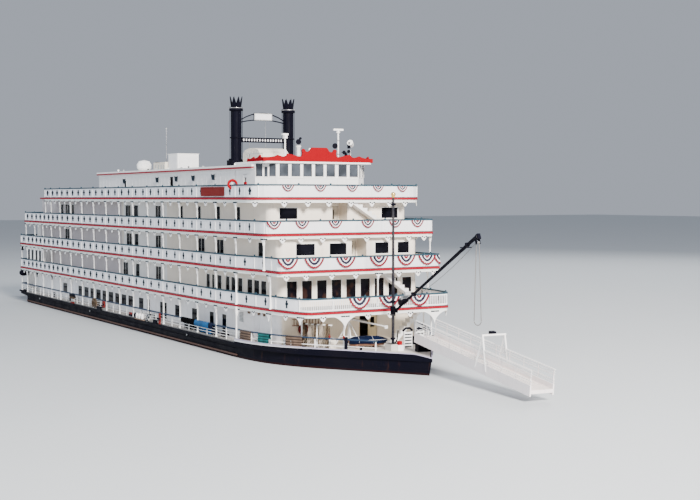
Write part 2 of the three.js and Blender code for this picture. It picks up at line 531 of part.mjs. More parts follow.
add('paddle_wheel', wheelSolid(), RED, 0.6, 0, wheelGroup);
for (const [name, s] of [['timber_starboard', -1], ['timber_port', 1]]) {
  const [inner, outer] = s > 0 ? [TIMBER.inner, TIMBER.outer] : [-TIMBER.outer, -TIMBER.inner];
  const side = polygon([[TIMBER.from, TIMBER.bottom - 60], [TIMBER.from, TIMBER.top], [WHEEL.x + 60, TIMBER.top],
    [WHEEL.x + 40, WHEEL.z + 34], [WHEEL.x - 40, WHEEL.z + 34], [WHEEL.x - 60, TIMBER.top], [TIMBER.to, TIMBER.top - 40],
    [TIMBER.to, TIMBER.bottom]]);
  const bearing = rod([WHEEL.x, inner - 5, WHEEL.z], [WHEEL.x, outer + 5, WHEEL.z], 16 + GAP, 12);
  add(name, cut(alongY(side, inner, outer), bearing), BLACK, 0.6);
}

// Three rudders hung between the transom and the wheel
for (const [i, y] of RUDDER.ys.entries()) {
  const blade = polygon([[-4155, 30], [-3998, 30], [-3998, 190], [-4155, 190]]);
  const stock = rod([RUDDER.x, y, 30], [RUDDER.x, y, 290], RUDDER.stock, 16);
  add(`rudder_${i + 1}`, join(alongY(blade, y - 6, y + 6), stock, rod([RUDDER.x, y, 247], [RUDDER.x, y, 262], 13, 16)), BLACK, 0.5, 0.3);
}

// Foredeck and deck fittings
add('engine_block', box(-3500, -2900, -260, 260, MAIN_DECK + GAP, MAIN_DECK + 160), 0x5f6a70, 0.6, 0.4);

// Hinged leaves: name, hinge x, hinge y, turn at rest, colour, floor z, width, height
const LEAF = 8;
const LEAVES = [
  ['entrance_leaf_starboard', 2752, DOORWAY.y0 + 5, 180, 0xe3d9c4, MAIN_DECK, 82, DOORWAY.height - 3],
  ['entrance_leaf_port', 2752, DOORWAY.y1 - 5, -90, 0xe3d9c4, MAIN_DECK, 82, DOORWAY.height - 3],
  ['pilothouse_door', PILOT_DOOR.x1 - 5, -534, 180, WHITE, deck5.top, 73, PILOT_DOOR.height - 3],
  ['texas_door_starboard', TEXAS_DOOR.x1 - 5, -534, 180, WHITE, deck5.top, 73, TEXAS_DOOR.height - 3],
  ['texas_door_port', TEXAS_DOOR.x1 - 5, 534, 180, WHITE, deck5.top, 73, TEXAS_DOOR.height - 3],
  ['recess_door_3', 2604, 136, -90, 0xe3d9c4, deck3.top, 103, RECESS_DOOR - 3],
  ['recess_door_4', 2444, 51, -90, 0xe3d9c4, deck4.top, 105, RECESS_DOOR - 3],
];
for (const [name, x, y, turn, colour, floor, width, height] of LEAVES) {
  const hinge = new THREE.Group();
  hinge.position.set(x, y, floor + 0.4);
  hinge.rotation.z = THREE.MathUtils.degToRad(turn);
  boat.add(hinge);
  const pane = box(width * 0.25, width * 0.75, -10, 10, height * 0.5, height * 0.88);
  add(name, cut(box(0, width, -LEAF / 2, LEAF / 2, 0, height), pane), colour, 0.6, 0, hinge);
}

// Open rails along both sides of the foredeck
for (const [name, s, end] of [['bow_rail_starboard', -1, 3560], ['bow_rail_port', 1, 3380]]) {
  const strips = [50, 101].map((z) => ring(hullShape, 22, 27, MAIN_DECK + z - 5, MAIN_DECK + z));
  const side = box(2280, end, s > 0 ? 0 : -900, s > 0 ? 900 : 0, MAIN_DECK, MAIN_DECK + 130);
  const line = guardLine(24.5);
  const posts = [];
  for (let i = 0; i <= 6; i++) {
    const x = 2285 + ((end - 8 - 2285) * i) / 6;
    const k = line.findIndex(([px]) => px > x);
    const [[xa, ya], [xb, yb]] = [line[k - 1], line[k]];
    const y = -s * (ya + ((yb - ya) * (x - xa)) / (xb - xa));
    posts.push(box(x - 3, x + 3, y - 4, y + 4, MAIN_DECK + GAP, MAIN_DECK + 101));
  }
  add(name, join(posts, strips.map((strip) => strip.intersect(side))), WHITE);
}

// Tender under its cover, on two chocks, and the small davit behind it
const tenderGroup = new THREE.Group();
tenderGroup.position.set(3170, -88, MAIN_DECK + GAP);
tenderGroup.rotation.z = THREE.MathUtils.degToRad(71);
boat.add(tenderGroup);
const tenderHalf = (z, half, x0, x1, tip) => ({ z, points: [[x0, -half], [x1, -half], [tip - 14, -half * 0.45], [tip, 0], [tip - 14, half * 0.45], [x1, half], [x0, half]] });
add('tender', join(loft([tenderHalf(20, 34, -140, 70, 135), tenderHalf(64, 60, -155, 70, 160)]),
  box(-100, -84, -40, 40, 0, 30), box(50, 66, -40, 40, 0, 30)), 0xe9e6de, 0.5, 0, tenderGroup);
add('tender_cover', loft([tenderHalf(64 + GAP, 63, -158, 70, 164), tenderHalf(76, 63, -158, 70, 164), tenderHalf(98, 24, -120, 60, 120)]),
  0x20365f, 0.85, 0, tenderGroup);
const DAVIT = { x: 2990, y: -150, top: 560 };
add('davit_post', join(box(DAVIT.x - 45, DAVIT.x + 45, DAVIT.y - 30, DAVIT.y + 30, MAIN_DECK + GAP, MAIN_DECK + 10),
  rod([DAVIT.x - 38, DAVIT.y, MAIN_DECK + 5], [DAVIT.x, DAVIT.y, DAVIT.top - 40], 7), rod([DAVIT.x + 38, DAVIT.y, MAIN_DECK + 5],
    [DAVIT.x, DAVIT.y, DAVIT.top - 40], 7), rod([DAVIT.x, DAVIT.y, MAIN_DECK + 5], [DAVIT.x, DAVIT.y, DAVIT.top], 8)), WHITE);
const jib = new THREE.Group();
jib.position.set(DAVIT.x, DAVIT.y, DAVIT.top + GAP);
jib.rotation.z = THREE.MathUtils.degToRad(62);
boat.add(jib);
add('davit_jib', join(rod([0, 0, 0], [0, 0, 26], 12, 12), rod([0, 0, 14], [300, 0, -50], 7), box(286, 312, -7, 7, -66, -40)), WHITE, 0.6, 0, jib);

// Covered goods stowed on the starboard side deck
const STOWAGE = [
  // name, x0, x1, height, colour
  ['stowage_blue', 980, 1700, 74, 0x2f5a86],
];
for (const [name, x0, x1, height, colour] of STOWAGE) {
  add(name, box(x0, x1, -778, -706, MAIN_DECK + GAP, MAIN_DECK + height), colour, 0.85);
}
export default boat;
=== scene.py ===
"""Sternwheel paddle boat, 1:10 scale model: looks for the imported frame.

Metres, +X towards the bow, +Y to port, +Z up. The water line is at z = 0.22.
"""

from math import atan2, ceil, cos, hypot, pi, radians, sin, sqrt

import bpy
from mathutils import Matrix, Vector


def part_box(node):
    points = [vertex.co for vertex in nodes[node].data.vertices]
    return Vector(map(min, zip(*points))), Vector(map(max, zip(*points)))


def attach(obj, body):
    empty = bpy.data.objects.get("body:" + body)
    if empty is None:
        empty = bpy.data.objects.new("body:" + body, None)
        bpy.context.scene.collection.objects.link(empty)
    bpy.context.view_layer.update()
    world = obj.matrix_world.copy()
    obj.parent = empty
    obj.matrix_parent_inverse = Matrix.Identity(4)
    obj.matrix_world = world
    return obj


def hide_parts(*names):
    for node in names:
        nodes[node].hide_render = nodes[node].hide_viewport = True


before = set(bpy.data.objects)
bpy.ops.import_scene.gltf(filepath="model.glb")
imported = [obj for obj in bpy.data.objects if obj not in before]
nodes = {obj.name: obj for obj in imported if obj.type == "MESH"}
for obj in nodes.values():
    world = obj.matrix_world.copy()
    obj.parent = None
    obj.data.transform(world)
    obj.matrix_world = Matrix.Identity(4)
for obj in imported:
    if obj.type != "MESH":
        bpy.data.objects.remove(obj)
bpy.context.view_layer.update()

# Driving dimensions
WATER = 0.22
SLAB = 0.018  # deck thickness
WALL = 0.012  # house wall thickness
RAIL_HEIGHT = 0.105
HOUSE_HALF, UPPER_HALF, HULL_HALF = 0.67, 0.54, 0.79
BOW_SHOULDER = 2.25  # x where the hull starts to narrow
DECKS = {  # length of the front corner, half length of the flat front, taper of the sides
    "deck_2": (1.24, 0.63, 0.055),
    "deck_3": (0.69, 0.755, 0.082),
    "deck_4": (0.115, 0.775, 0.0),
    "deck_5": (0.26, 0.56, 0.0),
}
HALF_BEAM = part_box("deck_2")[1][1]
MAIN_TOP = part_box("main_deck")[1][2]
TOPS = {name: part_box(name)[1][2] for name in DECKS}
F2, F3, F4, F5 = TOPS.values()  # the floors on decks 2 to 5
STERNS = {name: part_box(name)[0][0] for name in DECKS}
STERNS["deck_5"] = -3.11  # its aft part only roofs the house
COLUMN_AFT, COLUMN_AFT_PITCH, COLUMN_AFT_BAYS = -3.9, 0.345, 4
COLUMN_PITCH, COLUMN_BAYS = 0.398, 12
COLUMN_INSET = 0.018
EDGE_INSET = 0.010
SIDES = (-1, 1)  # starboard, port
UP = Vector((0, 0, 1))
CAMERA_PLACE, CAMERA_LENS, CAMERA_PITCH = (11.267, -5.075, 1.55), 61.7, radians(2.5)


# Camera and light
def aim(obj, target):
    obj.rotation_euler = (Vector(target) - obj.location).to_track_quat("-Z", "Y").to_euler()


camera = bpy.data.objects.new("camera", bpy.data.cameras.new("camera"))
camera.data.lens = CAMERA_LENS
camera.data.sensor_width = 36
camera.location = CAMERA_PLACE
level = cos(CAMERA_PITCH)
aim(camera, camera.location + Vector((-0.859 * level, 0.512 * level, -sin(CAMERA_PITCH))))
bpy.context.collection.objects.link(camera)
bpy.context.scene.camera = camera

for name, place, target, size, power, colour in (
        ("key", (17.5, -2.5, 9.5), (1.5, 0, 0.9), 4, 9500, (1, 0.955, 0.91)),
        ("fill", (-4, -14, 7), (-1, 0, 0.8), 10, 1180, (0.80, 0.89, 1)),
        ("back", (-6, 12, 10), (0, 0, 1), 10, 1300, (1, 1, 1))):
    light = bpy.data.objects.new(name, bpy.data.lights.new(name, "AREA"))
    light.data.energy, light.data.size, light.data.color = power, size, colour
    light.location = place
    aim(light, target)
    bpy.context.collection.objects.link(light)
world = bpy.data.worlds.new("studio")
world.use_nodes = True
world.node_tree.nodes["Background"].inputs["Color"].default_value = (0.80, 0.87, 1, 1)
world.node_tree.nodes["Background"].inputs["Strength"].default_value = 0.5
bpy.context.scene.world = world


# Materials
class Nodes:
    """A node tree under construction."""

    def __init__(self, name):
        self.material = bpy.data.materials.new(name)
        self.material.use_nodes = True
        self.tree = self.material.node_tree
        self.shader = self.tree.nodes["Principled BSDF"]
        self.place = self.node("ShaderNodeTexCoord").outputs["Object"]

    def node(self, kind, inputs=(), **settings):
        node = self.tree.nodes.new(kind)
        for key, value in settings.items():
            setattr(node, key, value)
        for key, value in dict(inputs).items():
            self.put(node.inputs[key], value)
        return node

    def put(self, socket, value):
        """Link or set a socket; a colour is given as three numbers."""
        if isinstance(value, bpy.types.NodeSocket):
            self.tree.links.new(value, socket)
        else:
            socket.default_value = value + (1,) if socket.type == "RGBA" else value

    def noise(self, scale, detail=4, stretch=(1, 1, 1)):
        place = self.node("ShaderNodeVectorMath", {0: self.place, 1: stretch}, operation="MULTIPLY")
        inputs = {"Vector": place.outputs[0], "Scale": scale, "Detail": detail}
        return self.node("ShaderNodeTexNoise", inputs).outputs["Fac"]

    def steps(self, value, low, high, to=(0.0, 1.0)):
        inputs = {"Value": value, "From Min": low, "From Max": high, "To Min": to[0], "To Max": to[1]}
        return self.node("ShaderNodeMapRange", inputs, interpolation_type="SMOOTHSTEP").outputs[0]

    def spots(self, scale, detail, low, high, to=(0.0, 1.0), stretch=(1, 1, 1)):
        """Noise with its middle range stretched from low to high."""
        return self.steps(self.noise(scale, detail, stretch), low, high, to)

    def maths(self, operation, a, b=0.0):
        return self.node("ShaderNodeMath", {0: a, 1: b}, operation=operation).outputs[0]

    def times(self, a, b):
        return self.maths("MULTIPLY", a, b)

    def lines(self, along, pitch, width):
        """0 on thin lines and 1 between them."""
        return self.steps(self.maths("PINGPONG", along, pitch), 0.0, width)

    def mix(self, share, a, b):
        node = self.node("ShaderNodeMix", data_type="RGBA")
        for index, value in ((0, share), (6, a), (7, b)):
            self.put(node.inputs[index], value)
        return node.outputs[2]

    def cover(self, colour, tone, mask, share):
        """The colour with a share of the tone over it where the mask is 1."""
        return self.mix(self.times(mask, share), colour, tone)

    def axis(self, letter):
        return self.node("ShaderNodeSeparateXYZ", {0: self.place}).outputs["XYZ".index(letter)]

    def weave(self, scale):
        return self.node("ShaderNodeTexChecker", {"Vector": self.place, "Scale": scale}).outputs["Fac"]

    def bump(self, height, depth, strength=1.0):
        node = self.node("ShaderNodeBump", {"Height": height, "Distance": depth, "Strength": strength})
        self.tree.links.new(node.outputs[0], self.shader.inputs["Normal"])

    def finish(self, colour, roughness, metal=0.0, **sockets):
        sockets = {"Base_Color": colour, "Roughness": roughness, "Metallic": metal} | sockets
        for key, value in sockets.items():
            self.put(self.shader.inputs[key.replace("_", " ")], value)
        return self.material


def darker(colour, share):
    return tuple(c * share for c in colour)


def paint(name, colour, roughness=0.45, dirt=0.12, dirt_colour=None, metal=0.0, gloss=0.5):
    """Brushed and weathered paint: cloudy shade, runs down the plates, fine orange peel."""
    n = Nodes(name)
    shade = n.cover(colour, darker(colour, 0.78), n.spots(3.1, 5, 0.35, 0.7), dirt)
    runs = n.spots(9, 6, 0.5, 0.78, stretch=(5, 5, 0.6))
    shade = n.cover(shade, dirt_colour or darker(colour, 0.55), runs, dirt * 1.4)
    n.bump(n.noise(90, 3), 0.0004, 0.5)
    rough = n.spots(14, 4, 0.3, 0.75, (roughness - 0.08, roughness + 0.12))
    return n.finish(shade, rough, metal, Specular_IOR_Level=gloss)


def wall_paint(name, cream, white, bands, aft=None):
    """House walls: cream cabins with white stretches, a darker mauve tone aft as painted shade, panel joints
    and faint runs.
    """
    n = Nodes(name)
    x = n.axis("X")
    share = 0.0
    for low, high in bands:
        inside = n.times(n.steps(x, low - 0.004, low + 0.004), n.steps(x, high + 0.004, high - 0.004))
        share = n.maths("MAXIMUM", inside, share)
    # Aft of x = -0.8 the wall takes the aft tone: painted shade on the recessed aft cabin walls.
    base = n.mix(n.steps(x, -0.78, -0.84), cream, aft or cream)
    colour = n.mix(share, base, white)
    colour = n.cover(colour, darker(cream, 0.8), n.spots(2.3, 5, 0.3, 0.75), 0.16)
    colour = n.cover(colour, darker(cream, 0.6), n.spots(11, 6, 0.52, 0.8, stretch=(4, 4, 0.5)), 0.16)
    joint = n.times(n.lines(x, 0.0995, 0.0012), n.lines(n.axis("Y"), 0.069, 0.0012))
    colour = n.cover(colour, darker(cream, 0.5), n.maths("SUBTRACT", 1.0, joint), 0.4)
    n.bump(n.maths("ADD", joint, n.times(n.noise(80, 3), 0.1)), 0.0012, 0.6)
    return n.finish(colour, n.spots(12, 4, 0.3, 0.7, (0.42, 0.6)))


def deck_paint(name, top, edge, under):
    """Deck slabs: worn grey walking surface, striped edge, pale ceiling under it."""
    n = Nodes(name)
    normal = n.node("ShaderNodeNewGeometry").outputs["Normal"]
    facing = n.node("ShaderNodeSeparateXYZ", {0: normal}).outputs["Z"]
    walked = n.cover(top, darker(top, 0.7), n.spots(5, 6, 0.4, 0.7), 0.5)
    side = n.cover(edge, darker(edge, 0.6), n.spots(8, 5, 0.45, 0.8), 0.3)
    colour = n.mix(n.steps(facing, 0.4, 0.6), side, walked)
    colour = n.mix(n.steps(facing, -0.4, -0.6), colour, under)
    n.bump(n.noise(120, 3), 0.0005, 0.6)
    return n.finish(colour, n.spots(20, 4, 0.3, 0.7, (0.45, 0.75)), Specular_IOR_Level=0.25)


def hull_paint(name="hull_black_paint", cap=False):
    """Black hull, red boot-top, plate seams and rust runs; cap is the pale paint on the bow's coaming."""
    n = Nodes(name)
    z = n.axis("Z")
    black, boot, rust = (0.0022, 0.0022, 0.0065), (0.016, 0.004, 0.004), (0.035, 0.014, 0.009)
    wavy = n.maths("ADD", z, n.times(n.noise(7, 4), 0.012))
    colour = n.mix(n.steps(wavy, 0.246, 0.238), black, boot)
    colour = n.cover(colour, (0.0055, 0.0045, 0.0075), n.spots(4, 6, 0.35, 0.7), 0.5)
    runs = n.times(n.spots(16, 6, 0.6, 0.78, stretch=(3, 3, 0.35)), n.steps(z, 0.36, 0.28))
    colour = n.cover(colour, rust, runs, 0.8)
    seams = n.times(n.lines(n.axis("X"), 0.3, 0.002), n.lines(n.maths("ADD", z, 0.01), 0.045, 0.0016))
    n.bump(n.maths("ADD", seams, n.times(n.noise(6, 3), 0.6)), 0.0016, 0.7)
    if cap:  # its lower edge rises forward
        edge = n.maths("SUBTRACT", z, n.times(n.maths("SUBTRACT", n.axis("X"), BOW_SHOULDER), 0.0165))
        colour = n.mix(n.steps(edge, 0.3585, 0.3595), colour, (0.78, 0.76, 0.78))
    return n.finish(colour, n.spots(9, 4, 0.3, 0.7, (0.5, 0.65)), Specular_IOR_Level=0.06)


def glass(name, dark, blind=None, gloss=0.07):
    """Window glass seen by day: dark and glossy, with a faint shade of what hangs behind it."""
    n = Nodes(name)
    colour = n.mix(n.spots(6, 2, 0.4, 0.65), dark, darker(dark, 2.2))
    if blind:
        colour = n.cover(colour, blind, n.spots(13, 1, 0.5, 0.6), 0.8)
    n.bump(n.noise(3, 1), 0.002, 0.15)
    return n.finish(colour, 0.1, Specular_IOR_Level=gloss)


def cloth_fan():
    """Bunting: red, white and blue rings from the middle out, with a plain weave."""
    n = Nodes("bunting_cloth")
    uv = n.node("ShaderNodeUVMap").outputs[0]
    ring = n.node("ShaderNodeSeparateXYZ", {0: uv}).outputs["Y"]
    red, white, blue = (0.20, 0.0, 0.010), (0.86, 0.84, 0.86), (0.004, 0.005, 0.022)
    colour = red
    for start, tone in ((0.22, white), (0.34, blue), (0.62, white), (0.78, red)):
        colour = n.mix(n.steps(ring, start - 0.01, start + 0.01), colour, tone)
    colour = n.cover(colour, (0.3, 0.28, 0.3), n.noise(40, 3), 0.12)
    n.bump(n.weave(900.0), 0.0002, 0.5)
    return n.finish(colour, 0.85, Sheen_Weight=0.05, Specular_IOR_Level=0.1)


def canvas(name, colour, fold_shade_pitch=0.0, gloss=0.1):
    """Cloth, darker where its fold noise is high as painted shade of the folds; the number after the colour is
    the pitch of painted dark bands of shade between the folds across a mat, 0 for none.
    """
    n = Nodes(name)
    folds = n.noise(9, 4)
    # Painted shade: darker where the fold noise is high.
    shade = n.mix(n.steps(folds, 0.35, 0.7), colour, darker(colour, 0.6))
    if fold_shade_pitch:
        # Painted shade: dark bands between the folds of a hanging mat.
        wave = n.maths("SINE", n.times(n.axis("Z"), 2 * pi / fold_shade_pitch))
        shade = n.mix(n.steps(wave, 0.1, 0.75), shade, darker(colour, 0.18))
    n.bump(n.maths("ADD", n.times(n.weave(700.0), 0.1), folds), 0.004, 0.5)
    return n.finish(shade, 0.9, Sheen_Weight=gloss * 0.4, Specular_IOR_Level=gloss)


def split_paint(name, low, *changes):
    """Paint that is low at the foot and takes another tone from each height up."""
    n = Nodes(name)
    z = n.axis("Z")
    colour = low
    for height, tone in changes:
        colour = n.mix(n.steps(z, height - 0.0006, height + 0.0006), colour, tone)
    colour = n.cover(colour, (0.4, 0.36, 0.3), n.spots(7, 5, 0.4, 0.8), 0.2)
    n.bump(n.noise(90, 3), 0.0004, 0.5)
    return n.finish(colour, n.spots(14, 4, 0.3, 0.75, (0.35, 0.55)), Specular_IOR_Level=0.3)


WHITE = paint("white_paint", (0.93, 0.92, 0.90), 0.4, 0.10, (0.6, 0.54, 0.46))
PANEL = paint("panel_white", (0.87, 0.87, 0.90), 0.42, 0.16, (0.55, 0.53, 0.5))
BAND = paint("fascia_band", (0.80, 0.84, 0.80), 0.42, 0.15)
CREAM = paint("cream_paint", (0.72, 0.66, 0.56), 0.5, 0.2)
TEAL = paint("teal_rail", (0.022, 0.055, 0.078), 0.5, 0.35, gloss=0.15)
# Dark teal paint, also used as painted shade for the rail's slot crosses and the gap under the rail panels.
ACCENT_AND_SHADE = paint("teal_accent_and_painted_shade", (0.006, 0.013, 0.022), 0.6, 0.3, gloss=0.08)
NAVY_RAIL = paint("navy_rail", (0.016, 0.036, 0.075), 0.5, 0.3, gloss=0.15)
RED = paint("red_paint", (0.27, 0.0, 0.006), 0.6, 0.12, gloss=0.06)
BLACK = paint("black_paint", (0.003, 0.003, 0.008), 0.6, 0.3, (0.010, 0.009, 0.009), gloss=0.05)
GREY = paint("grey_paint", (0.42, 0.43, 0.43), 0.5, 0.4)
STEEL = paint("bare_steel", (0.35, 0.35, 0.36), 0.35, 0.4, (0.2, 0.12, 0.07), metal=0.85)
BROWN = paint("board_brown", (0.17, 0.016, 0.014), 0.55, 0.2, gloss=0.1)
GOLD = paint("gold_ball", (0.8, 0.55, 0.18), 0.25, 0.1, metal=0.9)
PINKISH = paint("faded_white", (0.93, 0.86, 0.85), 0.5, 0.2)
PLANK = paint("stage_plank", (0.74, 0.67, 0.63), 0.65, 0.5, (0.35, 0.3, 0.28))
RUST = paint("rubbed_rust", (0.10, 0.045, 0.03), 0.7, 0.5, (0.02, 0.015, 0.015))
LEAF = paint("door_leaf", (0.72, 0.60, 0.36), 0.4, 0.2)
TENDER = paint("tender_hull", (0.20, 0.10, 0.065), 0.5, 0.3, gloss=0.2)
LILAC = paint("cap_paint", (0.42, 0.39, 0.50), 0.5, 0.3)
WOOD = paint("ladder_wood", (0.27, 0.16, 0.10), 0.7, 0.4)
ROPE = paint("wire_rope", (0.16, 0.15, 0.14), 0.6, 0.5)
HEMP = paint("hemp_rope", (0.42, 0.35, 0.28), 0.85, 0.5, (0.16, 0.12, 0.09), gloss=0.1)
COIL = paint("old_rope", (0.10, 0.07, 0.045), 0.9, 0.6, (0.02, 0.014, 0.01), gloss=0.05)
TAN = canvas("tan_goods", (0.20, 0.145, 0.115))
# The number after the colour is the pitch of painted shade bands between the mats' folds.
MAT_TAN = canvas("mat_tan", (0.17, 0.115, 0.085), 0.0205)
MAT_GREEN = canvas("mat_green", (0.010, 0.13, 0.13), 0.0205)
BLUE_TARP = canvas("blue_tarpaulin", (0.012, 0.10, 0.26))
NAVY_CANVAS = canvas("navy_canvas", (0.0022, 0.007, 0.030), gloss=0.05)
BLACK_CANVAS = canvas("black_canvas", (0.0012, 0.0010, 0.0016), gloss=0.015)
CLOTH = cloth_fan()
GLASS = glass("dark_glass", (0.0025, 0.0025, 0.004))
GLASS_BLIND = glass("dark_glass_blinds", (0.003, 0.0025, 0.004), (0.03, 0.014, 0.011))
# Lighter grey-blue than the other glass: the wheelhouse glass's tint with a painted reflection.
GLASS_BLUE = glass("wheelhouse_glass", (0.033, 0.038, 0.046), gloss=0.38)
# Its last tone is painted shade for the aft cabin walls.
CREAM_WALL = wall_paint("cabin_wall", (0.91, 0.82, 0.71), (0.93, 0.91, 0.89), [(-0.76, 0.43), (-4.3, -3.75)],
                        (0.54, 0.49, 0.50))
PALE_WALL = wall_paint("main_wall", (0.95, 0.85, 0.70), (0.92, 0.91, 0.93), [(-4, 2.753)])
TEXAS_WALL = wall_paint("texas_wall", (0.92, 0.91, 0.88), (0.9, 0.9, 0.9), [(-4, 3)])
DECK_EDGE = deck_paint("deck_striped", (0.36, 0.35, 0.33), (0.27, 0.0, 0.012), (0.84, 0.77, 0.66))
MAIN_PLANK = deck_paint("deck_main", (0.62, 0.58, 0.54), (0.25, 0.24, 0.23), (0.3, 0.3, 0.3))
PALE = (0.93, 0.92, 0.90)
ROOF_EDGE = split_paint("roof_striped", PALE, (1.7985, (0.27, 0.0, 0.012)), (1.8165, PALE))
POLE_PAINT = split_paint("pole_paint", (0.55, 0.53, 0.5), (0.4085, (0.004, 0.004, 0.010)),
                         (1.552, (0.75, 0.42, 0.06)))
RAIL_PAINT = split_paint("bow_rail_paint", PALE, (0.4485, (0.035, 0.085, 0.105)))

for material, names in (
        (CREAM_WALL, "house_2 house_3 house_4"),
        (PALE_WALL, "house_1"),
        (TEXAS_WALL, "texas_house pilothouse pilothouse_door"),
        (DECK_EDGE, "deck_2 deck_3 deck_4 deck_5"),
        (MAIN_PLANK, "main_deck"),
        (ROOF_EDGE, "texas_roof"),
        (POLE_PAINT, "bow_pole"),
        (RAIL_PAINT, "bow_rail_starboard bow_rail_port"),
        (hull_paint(), "hull"),
        (hull_paint("coaming_paint", True), "bow_coaming"),
        # stage_heel is black partly for its beam's dark paint and partly as painted shade under the stage's
        # heel.
        (BLACK, "timber_starboard timber_port rudder_1 rudder_2 rudder_3 stage_heel boom_collar boom"),
        (BLACK, "stack_starboard stack_port stack_arch stack_board"),
        (GREY, "engine_block"),
        (WHITE, "stair_1 stair_2 stair_4 pilothouse_roof roof_unit_aft radar_mast radar_scanner"),
        (WHITE, "davit_post davit_jib radome"),
        (CREAM, "roof_locker recess_door_3 recess_door_4"),
        (PINKISH, "stage"),
        (LEAF, "entrance_leaf_starboard entrance_leaf_port"),
        (GLASS, "texas_door_starboard texas_door_port"),
        (TENDER, "tender"),
        (RED, "crest paddle_wheel")):
    for name in names.split():
        nodes[name].data.materials.clear()
        nodes[name].data.materials.append(material)


# Mesh helpers
def circle(count):
    """Cosine and sine of evenly spaced angles."""
    return [(cos(2 * pi * k / count), sin(2 * pi * k / count)) for k in range(count)]


def skin(rings, sides, inside_out=False):
    """Faces over rings of points that follow each other."""
    faces = [(a + k, a + (k + 1) % sides, a + sides + (k + 1) % sides, a + sides + k)
             for a in range(0, (rings - 1) * sides, sides) for k in range(sides)]
    return [(a, d, c, b) for a, b, c, d in faces] if inside_out else faces


def ends(rings):
    """The two ends of a bar with four corners at each ring."""
    last = 4 * (rings - 1)
    return [(0, 1, 2, 3), (last + 3, last + 2, last + 1, last)]


def frame_at(place, x, y, z):
    """The turn and shift that carry the three axes to x, y and z at a place."""
    return Matrix.Translation(Vector(place)) @ Matrix((x, y, z)).transposed().to_4x4()


def new_object(name, vertices, faces, *materials):
    mesh = bpy.data.meshes.new(name)
    mesh.from_pydata([tuple(v) for v in vertices], [], faces)
    for material in materials:
        mesh.materials.append(material)
    obj = bpy.data.objects.new(name, mesh)
    bpy.context.collection.objects.link(obj)
    return obj


class Build:
    """Collects faces of one piece, with a material for each."""

    def __init__(self, name, *materials):
        self.name, self.materials = name, materials
        self.vertices, self.faces, self.slots, self.smooth = [], [], [], []

    def add(self, vertices, faces, material, smooth=False):
        start = len(self.vertices)
        self.vertices += vertices
        self.faces += [tuple(start + i for i in face) for face in faces]
        self.slots += [self.materials.index(material)] * len(faces)
        self.smooth += [smooth] * len(faces)

    def box(self, corner, other, material, turn=None):
        """A box between two opposite corners."""
        (x0, x1), (y0, y1), (z0, z1) = (sorted(pair) for pair in zip(corner, other))
        points = [(x, y, z) for z in (z0, z1) for x, y in ((x0, y0), (x1, y0), (x1, y1), (x0, y1))]
        faces = [(3, 2, 1, 0), (4, 5, 6, 7), (0, 1, 5, 4), (1, 2, 6, 5), (2, 3, 7, 6), (3, 0, 4, 7)]
        if turn:
            points = [turn @ Vector(p) for p in points]
            if turn.determinant() < 0:
                faces = [face[::-1] for face in faces]
        self.add(points, faces, material)

    def boxes(self, *rows):
        """Boxes from rows of x, y and z from and to, and a material."""
        for x0, x1, y0, y1, z0, z1, material in rows:
            self.box((x0, y0, z0), (x1, y1, z1), material)

    def block(self, x, y, half_x, half_y, z0, z1, material):
        """A box round x, y."""
        self.box((x - half_x, y - half_y, z0), (x + half_x, y + half_y, z1), material)

    def tube(self, points, sides, material):
        """A smooth skin over rings of points, closed at both ends."""
        self.add(points, skin(len(points) // sides, sides), material, True)
        self.add(points[:sides], [tuple(reversed(range(sides)))], material)
        self.add(points[-sides:], [tuple(range(sides))], material)

    def sweep(self, points, radius, sides, material):
        """A round bar along points."""
        points = [Vector(p) for p in points]
        rings = []
        for before, p, after in zip(points[:1] + points, points, points[1:] + points[-1:]):
            ahead = (after - before).normalized()
            side = ahead.cross(UP)
            side = side.normalized() if side.length > 0.02 else Vector((0, 1, 0))
            up = side.cross(ahead).normalized()
            rings += [p + (side * c + up * s) * radius for c, s in circle(sides)]
        self.tube(rings, sides, material)

    def upright(self, x, y, z0, z1, radius, sides, material):
        self.sweep([(x, y, z0), (x, y, z1)], radius, sides, material)

    def turned(self, place, profile, sides, material, lean=None):
        """A lathe piece: profile rows are radius, height above place."""
        at = Matrix.Translation(Vector(place)) @ (lean or Matrix.Identity(4))
        points = [at @ Vector((r * c, r * s, z)) for r, z in profile for c, s in circle(sides)]
        self.tube(points, sides, material)

    def plate(self, outline, thickness, place, across, up, material):
        """A flat plate with an outline in two directions, thickened along their normal."""
        across, up = Vector(across).normalized(), Vector(up).normalized()
        normal = across.cross(up)
        count = len(outline)
        front = [Vector(place) + across * a + up * b + normal * (thickness / 2) for a, b in outline]
        back = [p - normal * thickness for p in front]
        edges = [(i, i + count, (i + 1) % count + count, (i + 1) % count) for i in range(count)]
        faces = [tuple(range(count)), tuple(reversed(range(count, 2 * count)))]
        self.add(front + back, faces + edges, material)

    def make(self, body, replaces=(), bevel=0.0):
        obj = new_object(self.name, self.vertices, self.faces, *self.materials)
        obj.data.polygons.foreach_set("material_index", self.slots)
        obj.data.polygons.foreach_set("use_smooth", self.smooth)
        obj.data.update()
        if bevel:
            modifier = obj.modifiers.new("bevel", "BEVEL")
            modifier.width, modifier.segments, modifier.limit_method = bevel, 2, "ANGLE"
            modifier.angle_limit = radians(40)
            modifier.use_clamp_overlap = True
        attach(obj, body)
        if replaces:
            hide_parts(*replaces)
        return obj


def bezier(a, b, c, d, count):
    """Points of a cubic from a to d, without the last."""
    out = []
    for t in (i / count for i in range(count)):
        w = ((1 - t) ** 3, 3 * t * (1 - t) ** 2, 3 * t * t * (1 - t), t ** 3)
        out.append(tuple(sum(k * p[j] for k, p in zip(w, (a, b, c, d))) for j in (0, 1)))
    return out


